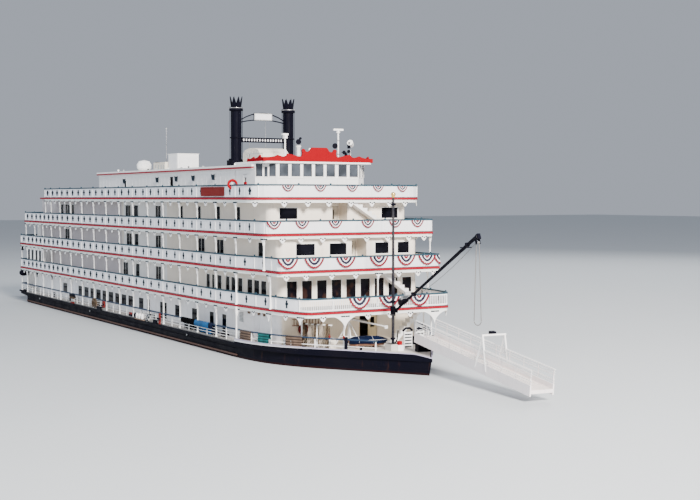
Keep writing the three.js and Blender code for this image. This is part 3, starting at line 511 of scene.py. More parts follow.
class Outline:
    """The edge of a deck, moved inwards by inset, from the starboard quarter round the bow and the stern."""

    CORNER = 40  # points on each bow curve

    def __init__(self, deck, inset=0.0):
        corner, flat, taper = DECKS[deck]
        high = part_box(deck)[1]
        half, tip, start = HALF_BEAM - inset, high[0] - inset, high[0] - corner
        edge = flat - inset * 0.3
        knee = edge + 0.565 * (half - edge)
        self.stern, self.half = STERNS[deck] + inset, half
        side = bezier((start, -half), (start + 0.63 * corner, -half + taper), (tip - 0.02 * corner, -knee),
                      (tip, -edge), self.CORNER)
        side.insert(0, (self.stern, -half))
        side.append((tip, -edge))
        port = [(x, -y) for x, y in reversed(side)]
        self.points = side + port + side[:1]
        self.marks = [0.0]
        for (x0, y0), (x1, y1) in zip(self.points, self.points[1:]):
            self.marks.append(self.marks[-1] + hypot(x1 - x0, y1 - y0))
        self.length = self.marks[-1]

    def at(self, s):
        """(x, y, outward x, outward y) at the distance s along the edge."""
        s %= self.length
        low, high = 0, len(self.marks) - 1
        while high - low > 1:
            middle = (low + high) // 2
            low, high = (middle, high) if self.marks[middle] <= s else (low, middle)
        (x0, y0), (x1, y1) = self.points[low], self.points[high]
        length = self.marks[high] - self.marks[low]
        t = (s - self.marks[low]) / length
        return x0 + (x1 - x0) * t, y0 + (y1 - y0) * t, (y1 - y0) / length, -(x1 - x0) / length

    def facing(self, s, z=0.0):
        """The turn and shift to the distance s, with X outwards."""
        x, y, nx, ny = self.at(s)
        return Matrix.Translation((x, y, z)) @ Matrix.Rotation(atan2(ny, nx), 4, "Z")

    def starboard(self, x):
        return x - self.stern

    def corner(self, share):
        """The distance at a share of the starboard bow curve."""
        place = share * self.CORNER
        index = min(self.CORNER - 1, int(place))
        a, b = self.marks[1 + index], self.marks[2 + index]
        return a + (b - a) * (place - index)

    def front(self, y):
        """The distance at y on the flat front."""
        return (self.marks[self.CORNER + 1] + self.marks[self.CORNER + 2]) / 2 + y

    def mirrored(self, s):
        """The same place on the other side of the boat."""
        return (self.length - 2 * self.half - s) % self.length


def ribbon(build, outline, s0, s1, z0, z1, thickness, material, step=0.03, depth=None):
    """A thin wall along the outline. depth(s), where given, lowers its bottom edge."""
    count = max(1, ceil((s1 - s0) / step))
    points = []
    h = thickness / 2
    for i in range(count + 1):
        s = s0 + (s1 - s0) * i / count
        x, y, nx, ny = outline.at(min(max(s, s0 + 1e-6), s1 - 1e-6))
        bottom = z0 - (depth(s) if depth else 0.0)
        points += [(x + nx * h, y + ny * h, bottom), (x + nx * h, y + ny * h, z1),
                   (x - nx * h, y - ny * h, z1), (x - nx * h, y - ny * h, bottom)]
    build.add(points, skin(count + 1, 4, True) + ends(count + 1), material)


# Ropes of the boom
BOOM_FOOT = Vector((3.4556, -0.0064, 0.672))
BOOM_HEAD = Vector((4.766, -0.1972, 1.298))


def cord(name, points, diameter, body, material, sides, **facts):
    """A rope as a round tube along points."""
    build = Build(name, material)
    build.sweep(points, diameter / 2, sides, material)
    build.make(body)


def shares(count, first=0):
    """Even steps up to 1."""
    return [i / count for i in range(first, count + 1)]


LOOP_DROP, LOOP_STEPS, WIRE_SAG = 0.53, 12, 0.03
loop_top = BOOM_HEAD + Vector((0.002, -0.004, -0.05))
left = [loop_top + Vector((-0.012 - 0.006 * t, -0.012 * t, -LOOP_DROP * t)) for t in shares(LOOP_STEPS)]
bend = [left[-1] + Vector((0.024 * (1 - cos(a)), 0.012 * (1 - cos(a)), -0.03 * sin(a)))
        for a in (pi * t for t in shares(LOOP_STEPS, 1))]
right = [bend[-1].lerp(loop_top + Vector((0.012, 0.004, 0)), t) for t in shares(LOOP_STEPS, 1)]
cord("boom_rope_loop", left + bend + right, 0.006, "cargo_boom", ROPE, 8, far_end="object", stiffness="limp",
     lay="hanging")
wire_top = BOOM_HEAD + Vector((-0.02, 0.0, -0.055))
wire_foot = BOOM_FOOT.lerp(BOOM_HEAD, 0.2) - Vector((0, 0, 0.02))
wire = [wire_top.lerp(wire_foot, t) - Vector((0, 0, 4 * WIRE_SAG * t * (1 - t))) for t in shares(20)]
cord("boom_hoist_wire", wire, 0.004, "cargo_boom", ROPE, 8, far_end="object", stiffness="medium", lay="taut")


# Galleries
# Round the bow, shares of the corner curve and then y on the flat front: columns, drops between them
BOW_MARKS = {
    "deck_2": (([0.387, 0.768], [-0.333, 0.515]), ([0.025, 0.247, 0.571], [-0.53, -0.122, 0.084, 0.276])),
    "deck_3": (([0.493], [0.15]), ([0.204], [-0.701, -0.525, -0.292, -0.067, 0.349, 0.54, 0.701])),
    "deck_4": (([0.33], []), ([], [-0.658, -0.493, -0.292, -0.085, 0.127, 0.335, 0.545, 0.7])),
    "deck_5": (([], []), ([0.297, 0.943], [-0.366, -0.169, 0.042, 0.247, 0.424])),
}
CORNER_COLUMNS = {"deck_3": 0.53, "deck_4": 0.33}
FRONT_COLUMNS = {"deck_2": (0.048, -0.32), "deck_3": (0.018, 0.15)}  # behind the deck's tip, y
BOW_COLUMNS = [(2.69, 0.70, 0.752), (2.985, 0.58, 0.69)]  # main deck: x, y, y of the beam's outer end
CROSS_REACH = {"deck_2": 3.06, "deck_3": 2.74, "deck_4": 2.60, "deck_5": 2.60}  # x of the last rail cross
CORNER_POSTS, FRONT_POSTS, CROSSES, BALUSTERS = 0.3, 0.32, 0.2, 0.0175  # pitches on the rails
DROP_HALF, DROP_FALL = 0.030, 0.036  # tulip drops of the boards
KNOB = [(0.006, 0), (0.0085, 0.005), (0.006, 0.011), (0.001, 0.013)]
COLUMN_FOOT = [(0.0115, 0.0), (0.0115, 0.008), (0.0085, 0.011), (0.0095, 0.016), (0.0072, 0.02),
               (0.0066, 0.11)]  # radius, height
COLUMN_HEAD = [(0.0062, 0.07), (0.009, 0.066), (0.0075, 0.06), (0.0105, 0.05), (0.0115, 0.0)]  # radius, depth


def side_columns(deck):
    """x of the columns that carry this deck along the sides."""
    stern = STERNS[deck] + COLUMN_INSET
    middle = COLUMN_AFT + COLUMN_AFT_BAYS * COLUMN_AFT_PITCH
    xs = [COLUMN_AFT + i * COLUMN_AFT_PITCH for i in range(COLUMN_AFT_BAYS)]
    xs += [middle + i * COLUMN_PITCH for i in range(COLUMN_BAYS + 1)]
    return [stern] + [x for x in xs if x > stern + 0.15]


def middles(marks):
    return [(a + b) / 2 for a, b in zip(marks, marks[1:])]


def edge_marks(deck, outline):
    """Distances along the outline of the columns and of the drops between them."""
    (corner, front), (corner_drops, front_drops) = BOW_MARKS[deck]
    side = [outline.starboard(x) for x in side_columns(deck)]
    gaps = middles(side) + ([outline.starboard(2.53)] if deck == "deck_4" else [])
    aft = 2 * outline.half
    stern = [outline.length - aft * i / 4 for i in (1, 2, 3)]
    out = []
    for along, curve, flat, middle in ((side, corner, front, stern), (gaps, corner_drops, front_drops, [])):
        one_side = along + [outline.corner(t) for t in curve]
        other = [outline.mirrored(s) for s in one_side]
        out.append(sorted(one_side + other + [outline.front(y) for y in flat] + middle))
    columns_at, drops_at = out
    round_stern = [s for s in columns_at if s >= outline.length - aft - 0.01] + [outline.length]
    return columns_at, sorted(drops_at + middles(round_stern))


def panel_with_shade_crosses(build, outline, s0, s1, z0, z1, centres, reach):
    """A rail panel with an upright dark cross at each centre, which shows on both of its sides: painted shade
    where the real panel has a cross-shaped slot with shadow behind it.
    """
    ribbon(build, outline, s0, s1, z0, z1, 0.004, PANEL, 0.05)
    for c in centres:
        x = outline.at(c)[0]
        if x > reach:
            continue
        grow = 1.0 + 1.3 * max(0.0, min(1.0, (2.0 - x) / 5.0))  # the crosses are wider aft
        arm, tip = 0.0105 * grow, 0.0180 * grow
        turn = outline.facing(c, (z0 + z1) / 2)
        # Painted shade: a dark cross where the real panel has a slot with shadow behind it.
        build.box((-0.0026, -arm, -0.031), (0.0026, arm, 0.031), ACCENT_AND_SHADE, turn)
        for side in SIDES:
            build.box((-0.0026, side * arm, -0.006), (0.0026, side * tip, 0.012), ACCENT_AND_SHADE, turn)


def rail(build, deck, floor):
    """Rail on a deck: panels on the sides and stern with dark crosses of painted shade for their slots, close
    balusters across deck 2's front.
    """
    edge = Outline(deck, 0.012)
    low, top = floor + 0.008, floor + RAIL_HEIGHT - 0.006
    open_from = edge.corner(0.76) if deck == "deck_2" else edge.front(-DECKS[deck][1] * 0.8)
    open_to = edge.mirrored(open_from)
    side = [edge.starboard(x) for x in side_columns(deck)]
    first, last = side[-1], edge.mirrored(side[-1])
    corner = max(1, round((open_from - first) / CORNER_POSTS))
    across = max(2, round((open_to - open_from) / FRONT_POSTS))
    marks = side + [edge.mirrored(s) for s in side] + [edge.length - 2 * edge.half * i / 4 for i in (1, 2, 3)]
    marks += [first + (open_from - first) * i / corner for i in range(1, corner + 1)]
    marks += [last - (last - open_to) * i / corner for i in range(1, corner + 1)]
    marks += [open_from + (open_to - open_from) * i / across for i in range(1, across)]
    marks.sort()
    for s in marks:
        x, y = edge.at(s)[:2]
        build.block(x, y, 0.0055, 0.0055, floor, floor + RAIL_HEIGHT - 0.004, WHITE)
        build.turned((x, y, floor + RAIL_HEIGHT + 0.002), KNOB, 8, TEAL)
    for a, b in zip(marks, marks[1:] + [marks[0] + edge.length]):
        forward = open_from - 1e-6 <= a < open_to - 1e-6
        if deck == "deck_2" and forward:
            ribbon(build, edge, a, b, low, low + 0.010, 0.006, WHITE)
            ribbon(build, edge, a, b, top - 0.012, top, 0.006, WHITE)
            count = max(2, round((b - a) / BALUSTERS))
            for i in range(1, count):
                turn = edge.facing(a + (b - a) * i / count)
                build.box((-0.0018, -0.0027, low), (0.0018, 0.0027, top), PANEL, turn)
        else:
            slots = 0 if forward else max(1, round((b - a) / CROSSES))
            centres = [a + (b - a) * (2 * i + 1) / (2 * slots) for i in range(slots)]
            panel_with_shade_crosses(build, edge, a + 0.004, b - 0.004, low, top, centres, CROSS_REACH[deck])
            for s in (a + (b - a) * i / slots for i in range(1, slots)):
                ribbon(build, edge, s - 0.0016, s + 0.0016, low, top, 0.0062, PANEL, 0.05)
    ribbon(build, edge, 0, edge.length, floor + RAIL_HEIGHT - 0.008, floor + RAIL_HEIGHT + 0.004, 0.014, TEAL)
    ribbon(build, edge, 0, edge.length, top - 0.005, top, 0.008, WHITE)
    ribbon(build, edge, 0, edge.length, floor, floor + 0.0075, 0.009, PANEL)
    # A dark strip along the rail's foot: painted shade of the gap under the panels.
    foot = Outline(deck, 0.006)
    ribbon(build, foot, 0, foot.length, floor, floor + 0.005, 0.004, ACCENT_AND_SHADE)


def fascia(build, deck):
    """White board under a deck's edge with brackets at the columns and tulip drops between them."""
    outer = Outline(deck, EDGE_INSET)
    last = outer.length - (2 * outer.half if deck == "deck_5" else 0)
    posts, drops = ([s for s in marks if s <= last + 1e-6] for marks in edge_marks(deck, outer))
    top = TOPS[deck] - SLAB
    reach, fall = (0.062, 0.06) if deck == "deck_2" else (0.046, 0.052)
    arches = [outer.front(-0.333), outer.front(0.515)] if deck == "deck_2" else []

    def closest(s, marks):
        return min(min(abs(s - m), outer.length - abs(s - m)) for m in marks)

    def depth(s):
        u, v = closest(s, posts), closest(s, drops)
        out = 0.0
        wide, deep = (0.115, 0.105) if arches and closest(s, arches) < 0.12 else (reach, fall)
        if u < wide:
            out = deep * (1 - sqrt(1 - (1 - u / wide) ** 2)) ** 0.8
        if v < DROP_HALF:
            out = max(out, DROP_FALL * (1 - (v / DROP_HALF) ** 1.6))
        return out

    ribbon(build, outer, 0, last, top - 0.021, top, 0.006, BAND, 0.05)
    ribbon(build, outer, 0, last, top - 0.023, top - 0.0205, 0.0075, WHITE, 0.05)
    done = 0.0
    for a, b in sorted([(s - 0.12, s + 0.12) for s in posts] + [(s - 0.035, s + 0.035) for s in drops]):
        a, b = max(a, done, 0.0), min(b, last)
        if b > a + 0.002:
            ribbon(build, outer, a, b, top - 0.0215, top - 0.021, 0.0055, WHITE, 0.0055, depth)
            done = b
    spots = Outline(deck, EDGE_INSET - 0.0034)
    disc = [tuple(range(7, -1, -1)), tuple(range(8, 16))] + skin(2, 8)
    for marks, offsets, size in ((drops, (-0.019, 0.0, 0.019), 0.0078),
                                 (posts, (-0.03, -0.011, 0.011, 0.03), 0.0115)):
        for mark in marks:
            for offset in offsets:
                turn = spots.facing(mark * spots.length / outer.length + offset, top - 0.0235)
                lift = 0.001 if offset else -0.006
                points = [turn @ Vector((out, size * c, 0.006 * s + lift))
                          for out in (-0.003, 0.0012) for c, s in circle(8)]
                build.add(points, disc, ACCENT_AND_SHADE)


def column_places(deck):
    half = HALF_BEAM - COLUMN_INSET
    spots = [(x, y) for y in (half, -half) for x in side_columns(deck)]
    if deck in CORNER_COLUMNS:
        shape = Outline(deck, COLUMN_INSET)
        x, y = shape.at(shape.corner(CORNER_COLUMNS[deck]))[:2]
        spots += [(x, y), (x, -y)]
    if deck in FRONT_COLUMNS:
        behind, y = FRONT_COLUMNS[deck]
        spots.append((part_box(deck)[1][0] - behind, y))
    if deck == "deck_2":
        spots += [(x, s * y) for x, y, _ in BOW_COLUMNS for s in SIDES] + [(3.19, 0.515)]
    return spots


def columns(build, deck, floor):
    """Turned columns under a deck, in place of the plain ones of the CAD."""
    height = TOPS[deck] - SLAB - 0.001 - floor
    profile = COLUMN_FOOT + [(r, height - depth) for r, depth in COLUMN_HEAD]
    for x, y in column_places(deck):
        build.turned((x, y, floor), profile, 12, WHITE)


def main_deck_trim(build):
    """Handrail and bars of the main deck's sides, beams to the bow columns, header behind the fascia."""
    edge = Outline("deck_2", COLUMN_INSET)
    end = edge.starboard(2.268)
    for z, thick, material in ((0.104, 0.012, NAVY_RAIL), (0.075, 0.004, WHITE), (0.052, 0.004, WHITE),
                               (0.028, 0.004, WHITE)):
        for a, b in ((0, end), (edge.mirrored(end), edge.length)):
            ribbon(build, edge, a, b, MAIN_TOP + z - thick, MAIN_TOP + z, thick, material, 0.1)
    for x in side_columns("deck_2")[1:-1]:
        for side in SIDES:
            y = side * (HALF_BEAM - COLUMN_INSET)
            build.block(x + 0.2, y, 0.003, 0.003, MAIN_TOP, MAIN_TOP + 0.1, WHITE)
    top = F2 - SLAB
    for x, y, end in BOW_COLUMNS:
        for side in SIDES:
            build.boxes((x - 0.008, x + 0.008, side * (y - 0.011), side * end, top - 0.028, top - 0.001,
                         WHITE))
    inner = Outline("deck_2", 0.05)
    ribbon(build, inner, 0, inner.length, top - 0.03, top - 0.001, 0.01, WHITE, 0.08)


def gallery(number, deck_below, deck_above, floor):
    build = Build(f"gallery_{number}_detail", WHITE, PANEL, TEAL, ACCENT_AND_SHADE, BAND, NAVY_RAIL)
    if deck_above:
        columns(build, deck_above, floor)
        fascia(build, deck_above)
    if deck_below:
        rail(build, deck_below, floor)
    else:
        main_deck_trim(build)
    build.make("boat", [f"gallery_{number}" if deck_above else f"rail_{number}"])


for number, (below, above) in enumerate(zip([None, *DECKS], [*DECKS, None]), 1):
    gallery(number, below, above, TOPS.get(below, MAIN_TOP))


# Houses, windows and doors
class Wall:
    """A wall plane: a point on it, the direction along it and its outward normal."""

    def __init__(self, place, along, out):
        self.turn = frame_at(place, along, out, (0, 0, 1))

    def box(self, build, u0, u1, n0, n1, z0, z1, material):
        build.box((u0, n0, z0), (u1, n1, z1), material, self.turn)


def side_wall(side, half):
    """u runs along X on either side of the boat."""
    return Wall((0, side * half, 0), (1, 0, 0), (0, side, 0))


def end_wall(x, out):
    """u runs along Y; out is 1 for a front and -1 for a stern."""
    return Wall((x, 0, 0), (0, 1, 0), (out, 0, 0))


def window(build, wall, u, width, z0, z1, pane=None, proud=0.005, bar=0.006, mullions=0, cut=False):
    """A framed window, on the wall or in an opening cut through it."""
    h = width / 2
    deep = -0.0042 if cut else -0.0005
    for a, b, c, d in ((u - h - bar, u - h, z0 - bar, z1 + bar), (u + h, u + h + bar, z0 - bar, z1 + bar),
                       (u - h, u + h, z1, z1 + bar), (u - h, u + h, z0 - bar * 1.3, z0)):
        wall.box(build, a, b, -0.0005, proud, c, d, WHITE)
    wall.box(build, u - h, u + h, deep, deep + 0.0025, z0, z1, pane or GLASS)
    for i in range(mullions):
        c = u - h + width * (i + 1) / (mullions + 1)
        wall.box(build, c - 0.0018, c + 0.0018, deep, deep + 0.005, z0, z1, WHITE)


def door(build, wall, u, width, z0, z1, leaf):
    """A framed door on the wall, with a pane in its upper half and a handle."""
    h, height = width / 2, z1 - z0
    for a, b, c in ((u - h - 0.007, u - h, z0), (u + h, u + h + 0.007, z0), (u - h, u + h, z1)):
        wall.box(build, a, b, -0.0005, 0.004, c, z1 + 0.007, WHITE)
    wall.box(build, u - h, u + h, -0.0005, 0.002, z0, z1, leaf)
    wall.box(build, u - h * 0.62, u + h * 0.62, 0.0015, 0.003, z0 + height * 0.5, z0 + height * 0.9, GLASS)
    wall.box(build, u + h * 0.72, u + h * 0.84, 0.002, 0.009, z0 + height * 0.42, z0 + height * 0.47, STEEL)


# Openings on the walls: X or Y of the middle, width; z from the floor
SILL, HEAD, DOORSTEP = 0.06, 0.21, 0.004
SIDE_4 = [(-2.885, 0.172), (-2.643, 0.158), (-2.445, 0.1), (-0.617, 0.147), (-0.386, 0.114), (0.214, 0.131)]
SIDE_3 = [(-2.662, 0.15), (-0.588, 0.146), (-0.378, 0.099), (0.214, 0.131)]
SIDE_2 = [(-3.94, 0.13), (-3.74, 0.13), (-0.698, 0.134), (-0.350, 0.099), (0.214, 0.131)]
SIDE_1 = [(-2.768, 0.136), (-2.197, 0.13), (-1.983, 0.13), (-1.775, 0.13), (-1.572, 0.13), (-1.366, 0.13),
          (-1.166, 0.125), (-0.963, 0.125), (-0.765, 0.12), (-0.566, 0.12), (-0.266, 0.11), (-0.065, 0.054),
          (0.279, 0.052), (0.382, 0.051), (0.681, 0.097), (1.088, 0.103), (1.471, 0.065), (1.735, 0.062)]
CUT_2 = [(1.401, 0.072), (1.508, 0.046), (1.641, 0.084), (1.812, 0.076), (1.928, 0.08), (2.061, 0.088),
         (2.248, 0.095), (2.375, 0.098), (2.505, 0.098)]
CUT_3 = [(1.246, 0.16), (1.646, 0.172), (2.453, 0.088)]
TALL_4 = [(0.79, 0.08), (1.203, 0.08), (1.617, 0.086), (2.021, 0.09)]
FRONTS = (  # front wall x, rows of y and width, sill, height, pane
    (2.765, [(-0.552 + 0.138 * i, 0.092) for i in range(9)], F2 + 0.05, 0.162, GLASS_BLIND),
    (2.760, [(-0.425, 0.173), (-0.12, 0.16), (0.305, 0.135), (0.52, 0.115)], F3 + 0.113, 0.093, GLASS),
    (2.590, [(-0.49, 0.165), (0.49, 0.165)], F4 + 0.115, 0.09, GLASS),
)

openings = Build("windows_and_doors", WHITE, CREAM, GLASS, GLASS_BLIND, STEEL, BROWN)
for side in SIDES:
    wall = side_wall(side, HOUSE_HALF)
    for floor, rows in ((F4, SIDE_4), (F3, SIDE_3), (F2, SIDE_2)):
        for u, width in rows:
            window(openings, wall, u, width, floor + SILL, floor + HEAD, mullions=int(width > 0.12))
    for u, width in SIDE_1:
        low, wider = (0.06, 1.15) if width > 0.09 else (0.012, 1.3)
        window(openings, wall, u, width * wider, MAIN_TOP + low, MAIN_TOP + 0.175, proud=0.0025)
    for u, width in CUT_2:
        window(openings, wall, u, width, F2 + 0.05, F2 + 0.203, cut=True)
    for rows, floor, cut in ((CUT_3, F3, True), (TALL_4, F4, False)):
        for u, width in rows:
            window(openings, wall, u, width, floor + 0.003, floor + 0.211, cut=cut, bar=0.0028,
                   mullions=int(width > 0.1))
for x, rows, sill, height, pane in FRONTS:
    for u, width in rows:
        window(openings, end_wall(x, 1), u, width, sill, sill + height, pane, cut=True)
for house, floor in (("house_2", F2), ("house_3", F3), ("house_4", F4)):
    wall = end_wall(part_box(house)[0][0], -1)
    for u in (-0.45, 0.45):
        door(openings, wall, u, 0.1, floor + DOORSTEP, floor + HEAD, CREAM)
    for u in (-0.15, 0.15):
        window(openings, wall, u, 0.15, floor + 0.08, floor + 0.2, mullions=1)
wall = end_wall(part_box("house_1")[0][0], -1)
for u in (-0.3, 0.3):
    door(openings, wall, u, 0.12, MAIN_TOP + DOORSTEP, MAIN_TOP + 0.22, CREAM)
# Deck 2's gallery is closed in at the quarter, and the main deck's wall runs on to the stern
for side in SIDES:
    quarter = side_wall(side, 0.803)
    quarter.box(openings, -3.9, -3.26, -0.008, 0.0, F2, F3 - SLAB, WHITE)
    for u in (-3.82, -3.66, -3.49, -3.34):
        window(openings, quarter, u, 0.092, F2 + 0.108, F2 + 0.235, proud=0.003)
    side_wall(side, HOUSE_HALF).box(openings, -4.02, -3.8, -WALL, 0.0, MAIN_TOP, F2 - SLAB, WHITE)
    for x, half, z0, z1 in ((-3.9, 0.80, F2, F3), (-3.268, 0.80, F2, F3), (-4.02, 0.778, MAIN_TOP, F2)):
        openings.box((x, side * HOUSE_HALF, z0), (x + 0.008, side * half, z1 - SLAB), WHITE)
openings.make("boat", bevel=0.0006)


# Upper house and pilothouse
PILOT_SILL, PILOT_HEAD = 1.7305, 1.8385  # front windows
SHADE = [(-0.016, 0.0), (0.006, -0.05), (0.014, -0.05), (0.016, 0.0)]

upper = Build("upper_house_detail", WHITE, PANEL, GLASS, GLASS_BLUE, ACCENT_AND_SHADE, BROWN, RED, STEEL, GREY)
for side in SIDES:
    wall = side_wall(side, UPPER_HALF)
    door(upper, wall, -1.05, 0.075, F5 + DOORSTEP, F5 + 0.2, PANEL)
    wall.box(upper, -1.9, 1.69, -0.0005, 0.0025, F5 + 0.222, F5 + 0.228, WHITE)
    for u in [-1.85 + 0.101 * i for i in range(36)]:
        if not 0.18 < u < 0.29:
            wall.box(upper, u - 0.0012, u + 0.0012, -0.0005, 0.0016, F5 + 0.004, F5 + 0.222, PANEL)
    for u, top in ((-1.063, 1.75), (-0.117, 1.752), (0.376, 1.755), (0.788, 1.757), (1.243, 1.76)):
        upper.plate(SHADE, 0.022, (u, side * (UPPER_HALF + 0.014), top), (1, 0, 0), (0, 0, 1), ACCENT_AND_SHADE)
        wall.box(upper, u - 0.016, u + 0.016, -0.0005, 0.027, top, top + 0.004, GREY)
front = end_wall(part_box("pilothouse")[1][0], 1)
for u in (-0.340, -0.225, -0.111, 0.004, 0.118, 0.237, 0.350):
    window(upper, front, u, 0.086, PILOT_SILL, PILOT_HEAD, GLASS_BLUE, bar=0.004)
front.box(upper, -0.40, 0.40, -0.0005, 0.004, 1.712, 1.722, WHITE)
front.box(upper, -0.385, 0.385, -0.0005, 0.0025, 1.565, 1.569, PANEL)
for side in SIDES:
    along = Vector((0.142, -side * 0.14, 0)).normalized()
    chamfer = Wall((2.154, side * 0.47, 0), along, (-side * along.y, side * along.x, 0))
    for u, width, low, high in ((-0.062, 0.06, PILOT_SILL, PILOT_HEAD), (0.058, 0.06, PILOT_SILL, PILOT_HEAD),
                                (0.0, 0.03, 1.728, 1.812)):
        window(upper, chamfer, u, width, low, high, GLASS_BLUE, bar=0.003)
after = end_wall(-1.9, -1)
for u in (-0.3, 0.3):
    door(upper, after, u, 0.08, F5 + DOORSTEP, F5 + 0.2, PANEL)
for u in (-0.1, 0.1):
    window(upper, after, u, 0.1, F5 + 0.11, F5 + 0.2)
upper.make("boat", bevel=0.0005)

# Board for the name on deck 5's rail, left bare
signs = Build("rail_board", BROWN, WHITE, RED)
for side in SIDES:
    y = side * (HALF_BEAM - 0.002)
    signs.boxes((1.575, 2.05, y, y - side * 0.006, 1.566, 1.637, BROWN),
                (1.57, 2.055, y, y + side * 0.002, 1.634, 1.641, BROWN),
                (1.57, 2.055, y, y + side * 0.002, 1.562, 1.568, BROWN))
signs.make("boat")


def ring(build, place, axis, radius, tube, colours, segments=32):
    """A life ring or a coil: a torus in eight lengths that take the colours in turn."""
    axis = Vector(axis).normalized()
    u = axis.orthogonal().normalized()
    v = axis.cross(u)
    rows = [[Vector(place) + (u * c + v * s) * (radius + tube * out) + axis * (tube * up)
             for out, up in circle(10)] for c, s in circle(segments)]
    for i in range(segments):
        tone = colours[(i * 8 // segments) % len(colours)]
        build.add(rows[i] + rows[(i + 1) % segments], skin(2, 10, True), tone, True)


rings = Build("life_rings", RED, WHITE)
ring(rings, (2.18, -0.797, 1.660), (1, -0.2, 0), 0.034, 0.011, (RED, RED, RED, RED, RED, WHITE, RED, RED))
rings.boxes((2.165, 2.172, -0.802, -0.792, F5, 1.69, WHITE), (2.39, 2.42, -0.795, -0.78, 1.655, 1.678, RED),
            (2.395, 2.415, -0.795, -0.783, F5, 1.655, WHITE))
rings.make("boat")

# Stacks: rings and rods round them, the panel and the rungs of the board between them
STACK_X, STACK_Y, ROOF = 1.15, 0.272, 1.8325
STACK_BANDS = ((2.352, 0.0655, BLACK), (2.372, 0.068, STEEL), (1.862, 0.066, BLACK), (2.1, 0.0612, BLACK))
stacks = Build("stack_detail", BLACK, STEEL, PANEL, GREY, WHITE)
for y in (-STACK_Y, STACK_Y):
    for z, r, tone in STACK_BANDS:
        profile = [(r - 0.004, 0), (r, 0.002), (r, 0.008), (r - 0.004, 0.010)]
        stacks.turned((STACK_X, y, z), profile, 24, tone)
    for c, s in circle(8):
        rod = [(STACK_X + r * c, y + r * s, z) for r, z in ((0.0625, 1.875), (0.062, 2.35))]
        stacks.sweep(rod, 0.0016, 4, BLACK)
stacks.boxes((1.1565, 1.1585, -0.088, 0.098, 2.2725, 2.3375, GREY),
             (1.1585, 1.160, -0.08, 0.09, 2.28, 2.33, PANEL),
             (1.1415, 1.1435, -0.088, 0.098, 2.2725, 2.3375, GREY))
for i in range(15):
    stacks.block(STACK_X, -0.196 + 0.028 * i, 0.0025, 0.006, 2.077, 2.097, PANEL)
stacks.upright(STACK_X, 0.031, 1.833, 2.27, 0.0028, 6, STEEL)
stacks.upright(STACK_X, -0.136, 1.833, 2.062, 0.0028, 6, STEEL)
stacks.boxes((1.07, 1.09, -0.312, -0.285, ROOF, 1.912, BLACK))
stacks.turned((1.2, -0.31, ROOF), [(0.022, 0), (0.022, 0.03), (0.014, 0.042), (0.003, 0.046)], 12, WHITE)
stacks.make("boat", bevel=0.0006)

# Gear on the roof: mast, boxes, louvres of the white unit, vents, ribs of the vaulted locker, a frame of bars
VENTS = (  # x, y, radius, height, paint
    (-1.6, -0.42, 0.012, 0.03, WHITE), (-1.35, -0.45, 0.009, 0.024, GREY), (-0.75, -0.4, 0.011, 0.022, BLACK),
    (-0.45, -0.43, 0.014, 0.02, GREY), (-0.1, -0.44, 0.010, 0.018, WHITE), (0.2, -0.42, 0.013, 0.02, GREY),
    (0.45, -0.45, 0.010, 0.022, BLACK), (0.75, -0.43, 0.014, 0.018, GREY), (-1.4, 0.4, 0.013, 0.03, WHITE),
    (-0.4, 0.42, 0.012, 0.03, GREY), (0.5, 0.4, 0.014, 0.026, WHITE),
)
gear = Build("roof_gear", WHITE, CREAM, GREY, BLACK, STEEL, PANEL)
gear.upright(-0.972, -0.1, 1.93, 2.304, 0.0045, 8, STEEL)
gear.turned((-0.972, -0.1, 2.290), [(0.006, 0), (0.006, 0.012), (0.002, 0.016)], 8, GREY)
gear.boxes((-1.25, -1.215, -0.118, -0.083, ROOF, 1.943, BLACK),
           (-1.189, -0.859, -0.165, -0.035, ROOF, 1.933, CREAM))
for x in (-1.12, -1.04, -0.96, -0.9):
    gear.boxes((x - 0.014, x + 0.014, -0.1668, -0.1645, 1.85, 1.905, GREY))
for z in [1.86 + 0.012 * i for i in range(11)]:
    gear.boxes((-0.83, -0.605, -0.1302, -0.1332, z, z + 0.005, PANEL),
               (-0.83, -0.605, 0.1102, 0.1132, z, z + 0.005, PANEL),
               (-0.5898, -0.587, -0.115, 0.095, z, z + 0.005, PANEL))
gear.boxes((-0.85, -0.585, -0.135, 0.115, 2.0125, 2.018, WHITE))
for x, y, r, h, tone in VENTS:
    profile = [(r * 0.6, 0), (r * 0.6, h * 0.55), (r, h * 0.6), (r * 0.9, h * 0.85), (r * 0.3, h)]
    gear.turned((x, y, ROOF), profile, 12, tone)
gear.turned((-1.745, -0.06, ROOF), [(0.05, 0), (0.05, 0.012), (0.035, 0.016)], 20, GREY)
for x in [1.36 + 0.0336 * i for i in range(8)]:
    gear.boxes((x - 0.002, x + 0.002, -0.2785, -0.2755, 1.834, 1.97, GREY))
for radius, bar in ((0.004, ((1.55, 1.833), (1.55, 1.94), (1.8, 1.94), (1.8, 1.848))),
                    (0.003, ((1.675, 1.94), (1.675, 1.833))), (0.003, ((1.55, 1.9), (1.8, 1.9)))):
    gear.sweep([(x, -0.33, z) for x, z in bar], radius, 6, GREY)
gear.make("boat", bevel=0.0006)

# Lights and horns behind the crest
PILOT_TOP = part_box("pilothouse_roof")[1][2]
DRUM = ((0.35, -1), (0.8, -0.85), (1, -0.4), (1, 0.25), (1.12, 0.28), (1.12, 0.42), (0.95, 0.42))
LENS = ((0.93, 0.3), (0.9, 0.38), (0.5, 0.41))
HORN = [(0.003, -0.03), (0.005, -0.008), (0.011, 0.024), (0.015, 0.032)]
LIGHT_POST = [(0.022, 0), (0.022, 0.006), (0.016, 0.012), (0.016, 0.125), (0.022, 0.13), (0.022, 0.142)]
LIGHT_CAP = [(0.006, 0), (0.012, 0.006), (0.012, 0.016), (0.004, 0.02)]


def looking(heading, tilt):
    """The turn of a lathe piece whose axis is tilted from upright towards a heading, both in degrees."""
    return Matrix.Rotation(radians(heading), 4, "Z") @ Matrix.Rotation(radians(tilt), 4, "Y")


